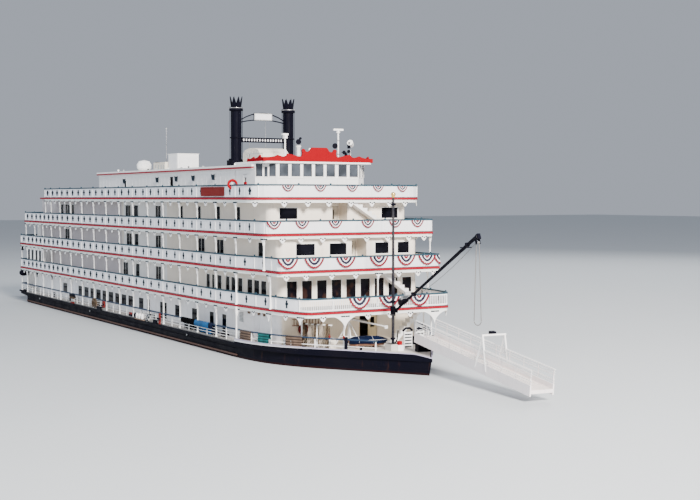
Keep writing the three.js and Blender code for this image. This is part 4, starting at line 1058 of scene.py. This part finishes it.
def lamp(build, place, radius, length, heading, pitch, shell):
    """A round searchlight head: a drum with a rim and a lens."""
    for rows, tone in ((DRUM, shell), (LENS, GLASS_BLUE)):
        profile = [(radius * r, length * z) for r, z in rows]
        build.turned(place, profile, 20, tone, looking(heading, 90 - pitch))


lamps = Build("pilothouse_gear", WHITE, BLACK, STEEL, GREY, GLASS_BLUE)
lamps.turned((1.9, -0.156, PILOT_TOP), [(0.009, 0), (0.007, 0.01), (0.007, 0.235)], 12, WHITE)
lamps.boxes((1.885, 1.915, -0.182, -0.130, 2.098, 2.113, WHITE),
            (1.88, 1.92, -0.169, -0.142, 2.070, 2.098, WHITE))
for y in (0.235, 0.394):
    lamps.turned((2.1, y, PILOT_TOP), [(0.010, 0), (0.006, 0.008), (0.006, 0.12)], 10, STEEL)
lamp(lamps, (2.1, 0.235, 2.004), 0.022, 0.03, -25, 0, BLACK)
lamp(lamps, (2.1, 0.394, 2.03), 0.024, 0.045, -50, 25, WHITE)
lamps.boxes((2.085, 2.115, 0.37, 0.385, 1.985, 2.04, BLACK))
for dy, dz, heading in ((0.0, 0.0, -60), (0.03, 0.012, -30), (-0.03, 0.006, -10), (0.012, -0.022, -45)):
    lamps.turned((2.1, 0.345 + dy, 1.945 + dz), HORN, 12, BLACK, looking(heading, 90))
lamps.upright(2.1, 0.345, PILOT_TOP, 1.95, 0.007, 8, BLACK)
lamps.turned((2.11, -0.02, PILOT_TOP), [(0.012, 0), (0.010, 0.1), (0.016, 0.11), (0.012, 0.122)], 12, WHITE)
for z in (1.93, 2.05):
    lamps.turned((2.11, 0.262, z), [(0.012, 0), (0.012, 0.006)], 12, STEEL)
lamps.make("boat")

searchlight = Build("searchlight_detail", WHITE, BLACK, STEEL, GLASS_BLUE)
searchlight.turned((2.102, -0.13, PILOT_TOP), LIGHT_POST, 16, WHITE)
lamp(searchlight, (2.102, -0.13, 2.031), 0.021, 0.03, -30, 5, BLACK)
searchlight.boxes((2.09, 2.114, -0.155, -0.105, 1.999, 2.006, STEEL))
searchlight.turned((2.102, -0.112, 2.052), LIGHT_CAP, 12, BLACK)
searchlight.make("boat", ["searchlight_1"])

# Bow pole: its ball and bands
BALL = [(0.004, -0.022), (0.013, -0.016), (0.019, -0.004), (0.0195, 0.003), (0.014, 0.0135), (0.004, 0.0175)]
pole = Build("bow_pole_detail", GOLD, BLACK, STEEL)
pole.turned((3.41, 0, 1.5755), BALL, 20, GOLD)
for z in (0.44, 0.73, 1.49):
    pole.turned((3.41, 0, z), [(0.013, 0), (0.021, 0.003), (0.021, 0.014), (0.013, 0.017)], 16, BLACK)
pole.make("boat")

# Cargo boom: bands, cheeks and sheaves at its head, the bar itself and two rollers
CHEEK = [(-0.01, -0.044), (0.01, -0.044), (0.014, 0.0), (0.008, 0.01), (-0.008, 0.01), (-0.014, 0.0)]
SHEAVE = [(0.010, -0.008), (0.010, -0.005), (0.007, -0.003), (0.007, 0.003), (0.010, 0.005), (0.010, 0.008)]
boom_length = (BOOM_HEAD - BOOM_FOOT).length
boom_way = (BOOM_HEAD - BOOM_FOOT).normalized()
boom_side = Vector((boom_way.y, -boom_way.x, 0)).normalized()
boom_up = boom_side.cross(boom_way)
boom_turn = frame_at(BOOM_FOOT, boom_way, boom_side, boom_up)


def on_boom(along, side=0.0, up=0.0):
    return boom_turn @ Vector((along, side, up))


boom = Build("boom_detail", BLACK, STEEL, GREY)
for along, half, wide in ((boom_length - 0.165, 0.009, 0.014), (0.36, 0.010, 0.018)):
    boom.box((along - half, -wide, -0.013), (along + half, wide, 0.013), BLACK, boom_turn)
for side in (-0.013, 0.013):
    boom.plate(CHEEK, 0.003, on_boom(boom_length - 0.02, side, -0.014), boom_way, boom_up, BLACK)
for up in (-0.046, -0.004):
    spin = frame_at(on_boom(boom_length - 0.02, 0, up), boom_way, boom_up, boom_side)
    boom.turned((0, 0, 0), SHEAVE, 16, STEEL, spin)
boom.sweep([on_boom(0.04), on_boom(boom_length - 0.01)], 0.0098, 14, BLACK)
for along, up in ((0.20, 0.03), (0.27, 0.036)):
    boom.sweep([on_boom(along, -0.03, up), on_boom(along, 0.03, up)], 0.016, 12, GREY)
boom.make("cargo_boom", bevel=0.0005)

# Davit: raking legs under the post's head, and the tackle on its arm
DAVIT_X, DAVIT_Y, DAVIT_REACH, DAVIT_HEADING = 2.99, -0.15, 0.3, radians(62)
davit = Build("davit_legs", WHITE, STEEL)
for x, y in ((2.93, -0.25), (3.03, -0.06)):
    davit.sweep([(DAVIT_X, DAVIT_Y, 0.553), (x, y, 0.359)], 0.0055, 8, WHITE)
davit.sweep([(2.95, -0.215, 0.43), (3.02, -0.09, 0.43)], 0.004, 8, WHITE)
davit.make("boat")
tackle = Build("davit_tackle", STEEL, WHITE)
x, y = DAVIT_X + DAVIT_REACH * cos(DAVIT_HEADING), DAVIT_Y + DAVIT_REACH * sin(DAVIT_HEADING)
tackle.upright(x, y, 0.505, 0.487, 0.004, 8, STEEL)
tackle.sweep([(DAVIT_X, DAVIT_Y, 0.584), ((DAVIT_X + x) / 2, (DAVIT_Y + y) / 2, 0.556)], 0.003, 6, STEEL)
tackle.make("davit_arm")

# Landing stage: planks, side beams with ribs, rails, and the gallows on its heel
STAGE_HALF, STAGE_END, GALLOWS_X, GALLOWS_Z = 0.0885, 1.685, 1.05, 0.24
stage_turn = Matrix.Translation((3.585, 0.165, 0.468)) @ looking(-7, 6)  # to starboard, and down forward


def stage_bars(build, y, rows):
    """White bars in the plane y of the stage: radius, sides, then x and z of both ends."""
    for radius, sides, x0, z0, x1, z1 in rows:
        bar = [stage_turn @ Vector(p) for p in ((x0, y, z0), (x1, y, z1))]
        build.sweep(bar, radius, sides, WHITE)


stage = Build("stage_detail", PLANK, WHITE, STEEL, BLACK, PINKISH)
for x in [0.035 + i * 0.025 for i in range(66)]:
    stage.box((x, -0.0775, 0.0085), (x + 0.0215, 0.0775, 0.0125), PLANK, stage_turn)
for side in SIDES:
    y = side * STAGE_HALF
    stage.box((0.03, y, 0.030), (STAGE_END, y + side * 0.003, 0.0445), WHITE, stage_turn)
    stage.box((0.03, y, -0.029), (STAGE_END, y + side * 0.003, -0.016), PINKISH, stage_turn)
    for x in [0.06 + i * 0.06 for i in range(28)]:
        stage.box((x - 0.0025, y, -0.016), (x + 0.0025, y + side * 0.002, 0.03), WHITE, stage_turn)
stage.box((1.01, -0.02, 0.2385), (GALLOWS_X, 0.02, 0.262), BLACK, stage_turn)
for side in SIDES:
    y = side * STAGE_HALF
    stage_bars(stage, y, [(r, 6, 0.036, z, STAGE_END + 0.01, z) for r, z in (
        (0.0028, 0.058), (0.0028, 0.074), (0.0028, 0.107), (0.0028, 0.124), (0.0045, 0.142))])
    for x in (0.975, 1.125):
        leg = [stage_turn @ Vector(p) for p in ((x, y * 1.02, 0.0), (GALLOWS_X, y, GALLOWS_Z))]
        stage.sweep(leg, 0.0068, 6, WHITE)
beam = [stage_turn @ Vector((GALLOWS_X, y, GALLOWS_Z)) for y in (-0.096, 0.096)]
stage.sweep(beam, 0.0075, 8, WHITE)
for y in (-STAGE_HALF - 0.001, STAGE_HALF + 0.001):  # lattice between the legs on each side
    stage_bars(stage, y, ((0.0032, 6, 1.0, 0.08, 1.1, 0.08), (0.0032, 6, 1.022, 0.15, 1.078, 0.15),
                          (0.0032, 6, 1.0, 0.08, 1.078, 0.15), (0.0032, 6, 1.1, 0.08, 1.022, 0.15)))
stage.make("landing_stage", bevel=0.0004)

# Hull: strakes and overboard pipes on both sides
STRAKES = ((0.318, 0.334, 0.016, BLACK), (0.292, 0.297, 0.004, BLACK), (0.238, 0.250, 0.010, RUST))
PIPE = [(0.009, 0), (0.012, 0.002), (0.012, 0.006), (0.009, 0.008)]
hull = Build("hull_trim", BLACK, WHITE, RUST, STEEL)
for side in SIDES:
    y = side * (HULL_HALF + 0.001)
    for z0, z1, out, tone in STRAKES:
        hull.boxes((-3.96, BOW_SHOULDER, y, y + side * out, z0, z1, tone))
    for x, z in ((1.2, 0.31), (-1.5, 0.305), (-3.4, 0.305)):
        hull.turned((x, side * 0.793, z), PIPE, 14, STEEL, Matrix.Rotation(radians(-90 * side), 4, "X"))
hull.make("boat", bevel=0.001)


def guard_line(inset):
    """The bow's guard line from the starboard shoulder round the stem to port."""
    half, stem = 0.82 - inset, 3.95 - 1.8 * inset
    reach = stem - BOW_SHOULDER
    side = bezier((BOW_SHOULDER, -half), (BOW_SHOULDER + 0.414 * reach, -half),
                  (BOW_SHOULDER + 0.5325 * reach, -0.66 * half), (stem, 0), 40)
    return side + [(stem, 0)] + [(x, -y) for x, y in reversed(side)]


# Pale cap along the top of the bow's coaming, which dips at the stem
points = []
for (x0, y0), (x1, y1) in zip(guard_line(-0.0015), guard_line(0.010)):
    z = 0.381 - max(0.0, x0 - 3.84) * 0.03 / 0.13
    points += [(x0, y0, z - 0.005), (x0, y0, z + 0.003), (x1, y1, z + 0.003), (x1, y1, z - 0.005)]
cap = Build("bow_cap", LILAC)
cap.add(points, skin(len(points) // 4, 4, True) + ends(len(points) // 4), LILAC)
cap.make("boat")

# Main deck: what stands on it, what hangs outside its rail, and the ladder and reel on the front wall
RAIL_OUT = -0.822
HUNG = (  # x and z from and to, paint
    (-2.15, -1.97, 0.425, 0.452, BLACK), (-2.13, -2.0, 0.40, 0.425, COIL),
    (-2.14, -1.98, 0.378, 0.40, GREY), (-2.10, -2.0, 0.350, 0.366, BROWN),
    (-1.20, -1.07, 0.345, 0.385, BLACK), (-1.02, -0.95, 0.385, 0.452, BROWN),
    (-0.225, -0.145, 0.362, 0.380, BLACK), (-0.215, -0.155, 0.380, 0.400, BROWN),
    (-0.06, 0.20, 0.346, 0.354, WOOD), (0.43, 0.52, 0.345, 0.380, BLACK),
    (0.575, 0.607, 0.350, 0.452, BROWN),
)
LAMP_CAP = [(0.010, 0), (0.014, 0.006), (0.014, 0.018), (0.005, 0.025)]
POST_CAP = [(0.005, 0), (0.008, 0.003), (0.008, 0.018), (0.003, 0.025)]
FLASK = [(0.012, 0), (0.014, 0.01), (0.014, 0.038), (0.008, 0.05)]
KEG = [(0.018, 0), (0.018, 0.04), (0.012, 0.052), (0.012, 0.062)]
REEL = [(0.042, 0), (0.042, 0.01), (0.028, 0.02), (0.008, 0.025)]
HOSES = (
    ([(3.395, 0.10, 0.50), (3.40, 0.13, 0.523), (3.40, 0.165, 0.52), (3.405, 0.185, 0.50)], 0.009),
    ([(3.40, 0.22, 0.498), (3.40, 0.25, 0.516), (3.40, 0.30, 0.512), (3.405, 0.325, 0.497)], 0.010),
    ([(3.33, 0.04, MAIN_TOP), (3.36, 0.07, 0.43), (3.345, 0.09, 0.50)], 0.006),
)
side_gear = Build("side_gear", WHITE, CREAM, GREY, BLACK, RED, TAN, STEEL, BROWN, WOOD, NAVY_RAIL, COIL)
side_gear.boxes((2.47, 2.57, -0.74, -0.70, MAIN_TOP, MAIN_TOP + 0.05, WHITE),
                (3.15, 3.205, -0.445, -0.395, MAIN_TOP, 0.445, CREAM),
                (3.145, 3.21, -0.45, -0.39, 0.445, 0.452, WHITE),
                (3.345, 3.365, -0.405, -0.385, MAIN_TOP, 0.455, BLACK))
side_gear.turned((3.355, -0.395, 0.455), LAMP_CAP, 12, BLACK)
for x, y in ((3.2, -0.452), (3.305, -0.385)):
    side_gear.block(x, y, 0.004, 0.004, MAIN_TOP, 0.458, WHITE)
    side_gear.turned((x, y, 0.458), POST_CAP, 12, BROWN)
for y in (0.145, 0.255):  # slatted racks behind the stage's heel, with dark gear on them
    for i in range(5):
        z = MAIN_TOP + 0.014 + 0.024 * i
        side_gear.block(3.40, y, 0.004, 0.035, z, z + 0.010, BLACK)
        side_gear.block(3.40, y, 0.005, 0.035, z + 0.010, z + 0.024, WHITE)
    for side in SIDES:
        side_gear.block(3.40, y + side * 0.037, 0.007, 0.003, MAIN_TOP, MAIN_TOP + 0.14, WHITE)
for points, radius in HOSES:
    side_gear.sweep(points, radius, 8, BLACK)
side_gear.boxes((3.435, 3.475, 0.005, 0.058, MAIN_TOP, 0.402, WHITE),
                (3.445, 3.472, 0.012, 0.046, 0.402, 0.432, RED),
                (3.28, 3.33, 0.02, 0.08, MAIN_TOP, 0.412, WHITE),
                (2.82, 2.95, -0.66, -0.62, MAIN_TOP, MAIN_TOP + 0.07, WHITE))
for z in [MAIN_TOP + 0.012 + i * 0.011 for i in range(5)]:
    side_gear.boxes((2.825, 2.945, -0.6625, -0.6595, z, z + 0.006, GREY))
for x, top, tone in ((-3.97, 0.415, GREY), (-3.88, 0.405, GREY), (-2.3, 0.418, TAN), (-1.43, 0.42, TAN)):
    side_gear.boxes((x - 0.045, x + 0.045, -0.765, -0.71, MAIN_TOP, top, tone),
                    (x - 0.047, x + 0.047, -0.767, -0.708, top - 0.012, top, CREAM))
for x in (-1.26, 0.335, 1.897):
    side_gear.boxes((x - 0.035, x + 0.035, -0.765, -0.715, MAIN_TOP, MAIN_TOP + 0.03, BLACK))
for x0, x1, z0, z1, tone in HUNG:
    side_gear.boxes((x0, x1, RAIL_OUT, RAIL_OUT + 0.011, z0, z1, tone))
for x0, x1, z0, z1 in ((-2.13, -2.08, 0.372, 0.40), (-1.0, -0.96, 0.405, 0.425), (0.57, 0.612, 0.385, 0.41)):
    side_gear.boxes((x0, x1, RAIL_OUT - 0.002, RAIL_OUT + 0.001, z0, z1, BLACK))
for k in range(7):
    place = (-1.34 + 0.018 * k, -0.818, 0.40 + 0.012 * (k % 3))
    ring(side_gear, place, (0.12, 1, 0.1), 0.034 + 0.004 * (k % 2), 0.006, (COIL, COIL if k % 3 else TAN), 16)
for x, z in ((0.27, 0.37), (0.31, 0.40), (0.35, 0.43)):
    ring(side_gear, (x, -0.818, z), (0.1, 1, 0), 0.020, 0.006, (GREY, BLACK), 16)
for x, tone in ((-0.04, BLACK), (0.02, WHITE), (0.09, WHITE), (0.16, WHITE)):
    side_gear.turned((x, -0.823, 0.36), FLASK, 10, tone)
for x, tone in ((-0.12, WHITE), (-0.03, WHITE), (0.14, WHITE), (0.22, GREY)):
    side_gear.turned((x, -0.73, MAIN_TOP), KEG, 12, tone)
for side in SIDES:
    wall = side_wall(side, HOUSE_HALF)
    for u in (2.243, 2.337, 2.429, 2.53):
        wall.box(side_gear, u - 0.014, u + 0.014, 0.0, 0.024, 0.600, 0.609, WOOD)
        wall.box(side_gear, u - 0.009, u + 0.009, 0.004, 0.020, 0.582, 0.600, TAN)
    for u in (2.06, 2.10):
        for z in [0.50 + i * 0.012 for i in range(7)]:
            wall.box(side_gear, u - 0.014, u + 0.014, 0.0, 0.006, z, z + 0.007, GREY)
    for u in [-3.75 + 0.0995 * i for i in range(65)]:
        wall.box(side_gear, u - 0.001, u + 0.001, -0.0005, 0.0014, MAIN_TOP + 0.002, 0.64, WHITE)
front = end_wall(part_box("house_1")[1][0], 1)
for z in (0.516, 0.568):
    front.box(side_gear, -0.55, -0.26, 0.006, 0.014, z, z + 0.0075, WOOD)
for y in [-0.535 + i * 0.0285 for i in range(10)]:
    front.box(side_gear, y - 0.003, y + 0.003, 0.007, 0.013, 0.516, 0.575, WOOD)
for y in (-0.505, -0.305):
    front.box(side_gear, y - 0.004, y + 0.004, 0.0, 0.007, 0.51, 0.54, STEEL)
side_gear.turned((2.768, -0.225, 0.578), REEL, 18, BLACK)
ring(side_gear, (2.774, -0.452, 0.487), (1, 0, 0), 0.033, 0.013, (BROWN, BROWN))
side_gear.turned((2.762, -0.452, 0.49), [(0.03, 0), (0.03, 0.012), (0.02, 0.016)], 16, BLACK, looking(0, 90))
side_gear.make("boat", bevel=0.0005)

# Bollards, and at the stern corner lamps, fender bars, boxes at the quarter and the hanging floats
BOLLARD = [(0.012, 0), (0.010, 0.006), (0.010, 0.036), (0.014, 0.042), (0.012, 0.05), (0.004, 0.053)]
STERN_LAMP = [(0.012, 0), (0.016, 0.012), (0.012, 0.045), (0.005, 0.05)]
FLOAT = [(0.006, -0.04), (0.036, -0.034), (0.056, -0.012), (0.056, 0.014), (0.036, 0.036), (0.006, 0.04)]
stern = Build("stern_gear", BLACK, GREY, STEEL, BROWN, WHITE, RED)
for side in SIDES:
    for x, y in ((-3.92, 0.74), (-3.92, 0.66), (-2.95, 0.75), (2.55, 0.70), (3.42, 0.30)):
        if x < 3 or side < 0:  # the rack takes the port one's place at the bow
            stern.turned((x, side * y, MAIN_TOP), BOLLARD, 12, BLACK)
    stern.turned((-4.13, side * 0.80, 0.875), STERN_LAMP, 12, BLACK)
    stern.boxes((-4.139, -4.121, side * 0.79, side * 0.81, 0.924, 0.951, BLACK))
    stern.sweep([(-4.025, side * 0.795, 0.352), (-4.16, side * 0.83, 0.358)], 0.011, 8, BLACK)
    for x in (-3.83, -3.46, -2.85):
        stern.boxes((x - 0.012, x + 0.012, side * 0.802, side * 0.815, 0.60, 0.632, BLACK),
                    (x - 0.006, x + 0.006, side * 0.804, side * 0.811, 0.57, 0.60, BLACK))
    stern.turned((-4.12, side * 0.79, 0.585), FLOAT, 18, BLACK)
    stern.upright(-4.12, side * 0.79, 0.612, 0.645, 0.003, 6, BLACK)
stern.make("boat")

# Paddle wheel: hub rings, bolts of the buckets and spokes, shaft collars
WHEEL_X, WHEEL_Z, WHEEL_HALF = -4.57, 0.49, 0.48
HUB = [(0.05, -0.011), (0.056, -0.009), (0.056, 0.009), (0.05, 0.011)]
wheel = Build("wheel_iron", STEEL, RED, BLACK)
lie = Matrix.Rotation(radians(90), 4, "X")
for y in (-WHEEL_HALF + 0.008, 0.0, WHEEL_HALF - 0.008):
    wheel.turned((WHEEL_X, y, WHEEL_Z), HUB, 24, STEEL, lie)
    for i in range(12):
        a = 2 * pi * (i + 0.5) / 12
        for r in (0.075, 0.17, 0.27, 0.335):
            for side in SIDES:
                place = (WHEEL_X + r * cos(a), y + side * 0.0065, WHEEL_Z + r * sin(a))
                wheel.turned(place, [(0.0045, -0.0012), (0.0045, 0.0012)], 6, STEEL, lie)
for y in (-0.576, 0.576):
    wheel.turned((WHEEL_X, y, WHEEL_Z), [(0.024, -0.014), (0.024, 0.014)], 16, STEEL, lie)
wheel.make("wheel")


# Canvas: tender cover, rolled goods, mats and tarpaulins over the rails
def cloth(name, vertices, across, material, thickness, offset=1, inside_out=False):
    """A sheet of cloth from rows of across points each, thickened a little, and its area."""
    faces = [(a, a + 1, a + across + 1, a + across)
             for row in range(0, len(vertices) - across, across) for a in range(row, row + across - 1)]
    if inside_out:
        faces = [(a, d, c, b) for a, b, c, d in faces]
    obj = new_object(name, vertices, faces, material)
    obj.data.polygons.foreach_set("use_smooth", [True] * len(faces))
    modifier = obj.modifiers.new("cloth", "SOLIDIFY")
    modifier.thickness, modifier.offset = thickness, offset
    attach(obj, "boat")
    return obj, sum(p.area for p in obj.data.polygons)


def hump(distance, width):
    """1 in the middle, falling to nothing within about two widths."""
    return 2.718 ** (-(distance / width) ** 2)


def tender_cover():
    """Canvas laced over the tender: a ridge that sags between the thwarts, and a skirt round the gunwale."""
    turn = Matrix.Translation((3.170, -0.088, MAIN_TOP + 0.001)) @ Matrix.Rotation(radians(71), 4, "Z")
    across, rows, start, length, gunwale = 33, 61, -0.1585, 0.324, 0.0662
    vertices = []
    for j in range(rows):
        x = start + length * j / (rows - 1)
        t = max(0.0, (x - 0.07) / 0.0956)
        half = 0.0005 + 0.063 * max(0.0, 1 - t ** 1.9) ** 0.62
        thwarts = sum(hump(x - c, 0.022) for c in (-0.105, -0.01, 0.08))
        ridge = 0.0265 * (1 - abs(x / 0.172) ** 3) + 0.0045 * thwarts
        for i in range(across):
            s = (i - 16) / 12
            if abs(s) <= 1:
                y, z = half * s, gunwale + ridge * (1 - abs(s) ** 1.35) * (1 if j else 0.9)
                z += 0.0010 * sin(70 * x + 5 * s) * (1 - s * s)
            else:
                drop = (abs(s) - 1) * 3  # 0 to 1 down the skirt
                fold = 0.0014 * drop * sin(95 * x)
                y = (half + 0.0014 - 0.0155 * drop * min(1, half / 0.03) + fold) * (1 if s > 0 else -1)
                z = gunwale - 0.031 * drop - 0.0012 * drop * sin(40 * x)
            vertices.append(turn @ Vector((x, y, z)))
    obj, area = cloth("tender_canvas", vertices, across, NAVY_CANVAS, 0.0008)
    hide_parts("tender_cover")
    lace = Build("tender_lacing", WHITE)
    for i in (4, across - 5):
        lace.sweep([vertices[j * across + i] + UP * 0.0004 for j in range(1, rows - 1)], 0.0011, 6, WHITE)
    for x in (-0.075, 0.035):
        j = round((x - start) / length * (rows - 1))
        lace.sweep([vertices[j * across + i] + UP * 0.0009 for i in range(1, across - 1)], 0.0009, 6, WHITE)
    lace.make("boat")


def roll(name, x0, x1, y, z, radius, material, replaces=()):
    """A sheet rolled up and laid along the side, drawn in by two ties."""
    turns, per_turn, stations = 2.6, 16, 21
    steps = int(turns * per_turn)
    ties = (x0 + (x1 - x0) * 0.22, x0 + (x1 - x0) * 0.78)
    vertices = []
    for j in range(stations):
        x = x0 + (x1 - x0) * j / (stations - 1)
        pinch = 1 - 0.10 * sum(hump(x - tie, 0.018) for tie in ties)
        slack = 1 - 0.05 * (0.5 + 0.5 * sin(23 * x + 40 * y))
        for i in range(steps + 1):
            a = 2 * pi * i / per_turn
            r = (0.32 + 0.66 * i / steps) * radius * pinch * (slack if i > steps * 0.5 else 1)
            vertices.append((x, y + r * cos(a), z + r * sin(a) * 0.97))
    obj, area = cloth(name, vertices, steps + 1, material, 0.0009)
    if replaces:
        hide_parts(*replaces)
    strap = Build(f"{name}_ties", BLACK)
    for tie in ties:
        loop = circle(18)
        points = [(tie, y + radius * 0.97 * c, z + radius * 0.94 * s) for c, s in loop + loop[:1]]
        strap.sweep(points, 0.0016, 6, BLACK)
    strap.make("boat")


RAIL_INSET = 0.0245  # of the bow rail's line from the guard line


def rail_point(x):
    """A place on the line of the starboard bow rail, and its outward direction."""
    line = guard_line(RAIL_INSET)
    for (x0, y0), (x1, y1) in zip(line, line[1:]):
        if x1 >= x:
            place = Vector((x, y0 + (y1 - y0) * (x - x0) / (x1 - x0), 0))
            return place, Vector((y1 - y0, x0 - x1, 0)).normalized()


def side_point(x):
    """A place on the line of the main deck's starboard rail, and its outward direction."""
    return Vector((x, COLUMN_INSET - HALF_BEAM, 0)), Vector((0, -1, 0))


def drape(name, x0, x1, outer, inner, material, seed, line, top, half, pitch=0.0205):
    """A cloth hung over a rail in soft folds: outer and inner are the heights of its two edges."""
    across, low = 31, top - 0.004
    path = [(half, low - (low - outer) * (1 - t)) for t in shares(12)]
    path += [(half * cos(a), top - 0.003 + 0.0052 * sin(a)) for a in (pi * k / 8 for k in range(1, 8))]
    path += [(-half, low - (low - inner) * t) for t in shares(12)]
    vertices = []
    for out, z in path:
        hang = (top - z) / 0.1
        for u in shares(across - 1):
            place, way = line(x0 + (x1 - x0) * u)
            sway = 1.1 + 0.7 * sin(2 * pi * (2.6 * u + seed)) + 0.4 * sin(2 * pi * (5.3 * u + 2 * seed))
            fold = 0.0075 * abs(sin(pi * (top - z) / pitch)) + 0.003 * hang * sway
            rise = 0.004 * hang * sin(2 * pi * (1.3 * u + seed))
            vertices.append(place + way * (out + (fold if out > 0 else -fold)) + Vector((0, 0, z + rise)))
    obj, area = cloth(name, vertices, across, material, 0.0012)
    wide = (line(x1)[0] - line(x0)[0]).length


tender_cover()
for i, (y, z) in enumerate(((-0.7595, 0.3752), (-0.7235, 0.3752), (-0.7415, 0.4085))):
    roll(f"blue_roll_{i + 1}", 1.325, 1.70, y, z, 0.0175, BLUE_TARP, () if i else ("stowage_blue",))
for name, x0, x1, outer, inner, material, seed in (
        ("mat_tan_1", 2.33, 2.50, 0.356, 0.41, MAT_TAN, 0.1),
        ("mat_green", 2.60, 2.73, 0.354, 0.42, MAT_GREEN, 0.45),
        ("mat_tan_2", 2.895, 3.035, 0.352, 0.40, MAT_TAN, 0.75)):
    drape(name, x0, x1, outer, inner, material, seed, rail_point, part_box("bow_rail_starboard")[1][2], 0.0058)
for name, x0, x1, material, seed in (
        ("tarp_black", 1.11, 1.40, BLACK_CANVAS, 0.2),
        ("tarp_blue", 1.41, 1.71, BLUE_TARP, 0.6),
        ("tarp_navy", 1.715, 1.80, NAVY_CANVAS, 0.35)):
    drape(name, x0, x1, 0.416, 0.364, material, seed, side_point, MAIN_TOP + RAIL_HEIGHT, 0.0075,
          0.05)

# Handrail of the bow, thicker than its bar
bow_bar = Build("bow_handrail", NAVY_RAIL)
for side, end in zip(SIDES, (3.555, 3.375)):
    line = [(x, side * -y, 0.4575) for x, y in guard_line(RAIL_INSET) if 2.282 < x < end and y < 0]
    bow_bar.sweep(line, 0.0062, 8, NAVY_RAIL)
bow_bar.make("boat")

# Hanks of rope on a stand behind the bow rail
HANK_ROPE, HANK_HALF = 0.0045, 0.015
HANKS = (  # x, turns, fall, rope
    (3.02, 5, 0.16, COIL), (3.065, 6, 0.15, HEMP), (3.11, 5, 0.165, COIL), (3.155, 6, 0.155, HEMP),
    (3.2, 5, 0.162, COIL),
)


def stand_y(x):
    return -0.5908 + (x - 2.99) * 0.577


def hank(name, middle, height, turns, material):
    """A rope wound in long loops and hung over the stand's bar."""
    along, across = Vector((0.866, 0.5, 0)), Vector((0.5, -0.866, 0))
    step = along * (HANK_ROPE * 1.15)
    points = []
    for t in range(turns):
        base = Vector(middle) + step * (t - (turns - 1) / 2)
        drop = height * (1 - 0.10 * ((t * 7) % 3) / 2)
        top = [base + across * (HANK_HALF * cos(pi * k)) + UP * (HANK_HALF * sin(pi * k)) for k in shares(8)]
        down = [top[-1] + Vector((0.002 * sin(5 * k + t), 0.002 * cos(4 * k), -drop * k / 7))
                for k in range(1, 8)]
        low = [down[-1] + across * (HANK_HALF * (1 - cos(pi * k))) - UP * (HANK_HALF * sin(pi * k))
               for k in shares(8, 1)]
        rise = [low[-1].lerp(top[0] + step, k / 7) + Vector((0.002 * sin(4 * k), 0, 0)) for k in range(1, 7)]
        points += top + down + low + (rise if t < turns - 1 else [])
    cord(name, points, HANK_ROPE, "boat", material, 6, far_end="bare", stiffness="limp", lay="coiled")


stand = Build("rope_stand", WHITE)
for x in (3.0, 3.115):
    stand.block(x, stand_y(x), 0.005, 0.005, MAIN_TOP, 0.565, WHITE)
stand.sweep([(2.99, -0.5908, 0.56), (3.235, -0.4494, 0.56)], 0.005, 8, WHITE)
stand.make("boat")
for i, (x, turns, height, tone) in enumerate(HANKS):
    hank(f"rope_hank_{i + 1}", (x, stand_y(x), 0.553), height, turns, tone)

# Bunting: each fan's middle along the front rail to port, half width and fall, and the flat cut
BUNTING = {
    "deck_2": ([-0.204, 0.072, 0.361], 0.100, 0.088, (0.34, 0.11)),
    "deck_3": ([-0.69, -0.455, -0.164, 0.151, 0.418, 0.628, 0.778], 0.09, 0.080, (0.32, 0.106)),
    "deck_4": ([-0.735, -0.483, -0.174, 0.135, 0.406, 0.63], 0.062, 0.056, (0.21, 0.07)),
    "deck_5": ([-0.55, -0.251, 0.052, 0.307, 0.55], 0.052, 0.046, (0.18, 0.06)),
}


def bunting(name, outline, s, half_width, fall, floor):
    """A half-round fan of cloth, pleated from the middle of its top edge and hung by it from the rail."""
    count, rings, pleats = 96, 10, 22
    top = floor + RAIL_HEIGHT - 0.008
    vertices, coords = [], []
    for share in shares(rings):
        for along in shares(count):
            a = pi * along
            reach = Vector((cos(a) * half_width, -sin(a) ** 1.6 * fall)) * (0.06 + 0.94 * share)
            x, y, nx, ny = outline.at(s + reach.x)
            out = 0.0035 + 0.0032 * share * (1 - cos(pleats * a)) + 0.004 * share * share * sin(a)
            z = top + reach.y - 0.0036 * (1 - abs(cos(a))) * (1 - share) - 0.003 * share * cos(pleats * a)
            vertices.append((x + nx * out, y + ny * out, z))
            coords.append((along, share))
    obj, area = cloth(name, vertices, count + 1, CLOTH, 0.0006, 0, True)
    uv = obj.data.uv_layers.new(name="cloth")
    for loop in obj.data.loops:
        uv.data[loop.index].uv = coords[loop.vertex_index]
    return obj, area


for deck, (places, half_width, fall, flat) in BUNTING.items():
    outline = Outline(deck, 0.007)
    for i, y in enumerate(places):
        name, s = f"bunting_{deck}_{i + 1}", outline.front(y)
        obj, area = bunting(name, outline, s, half_width, fall, TOPS[deck])

# Floor and finish
bpy.ops.mesh.primitive_plane_add(size=120, location=(0, 0, WATER))
floor_plane = bpy.context.object
floor_plane.name = "floor"
n = Nodes("floor_pale")
pale = n.mix(n.noise(0.6, 3), (0.52, 0.55, 0.57), (0.55, 0.58, 0.60))
floor_plane.data.materials.append(n.finish(pale, 0.5))
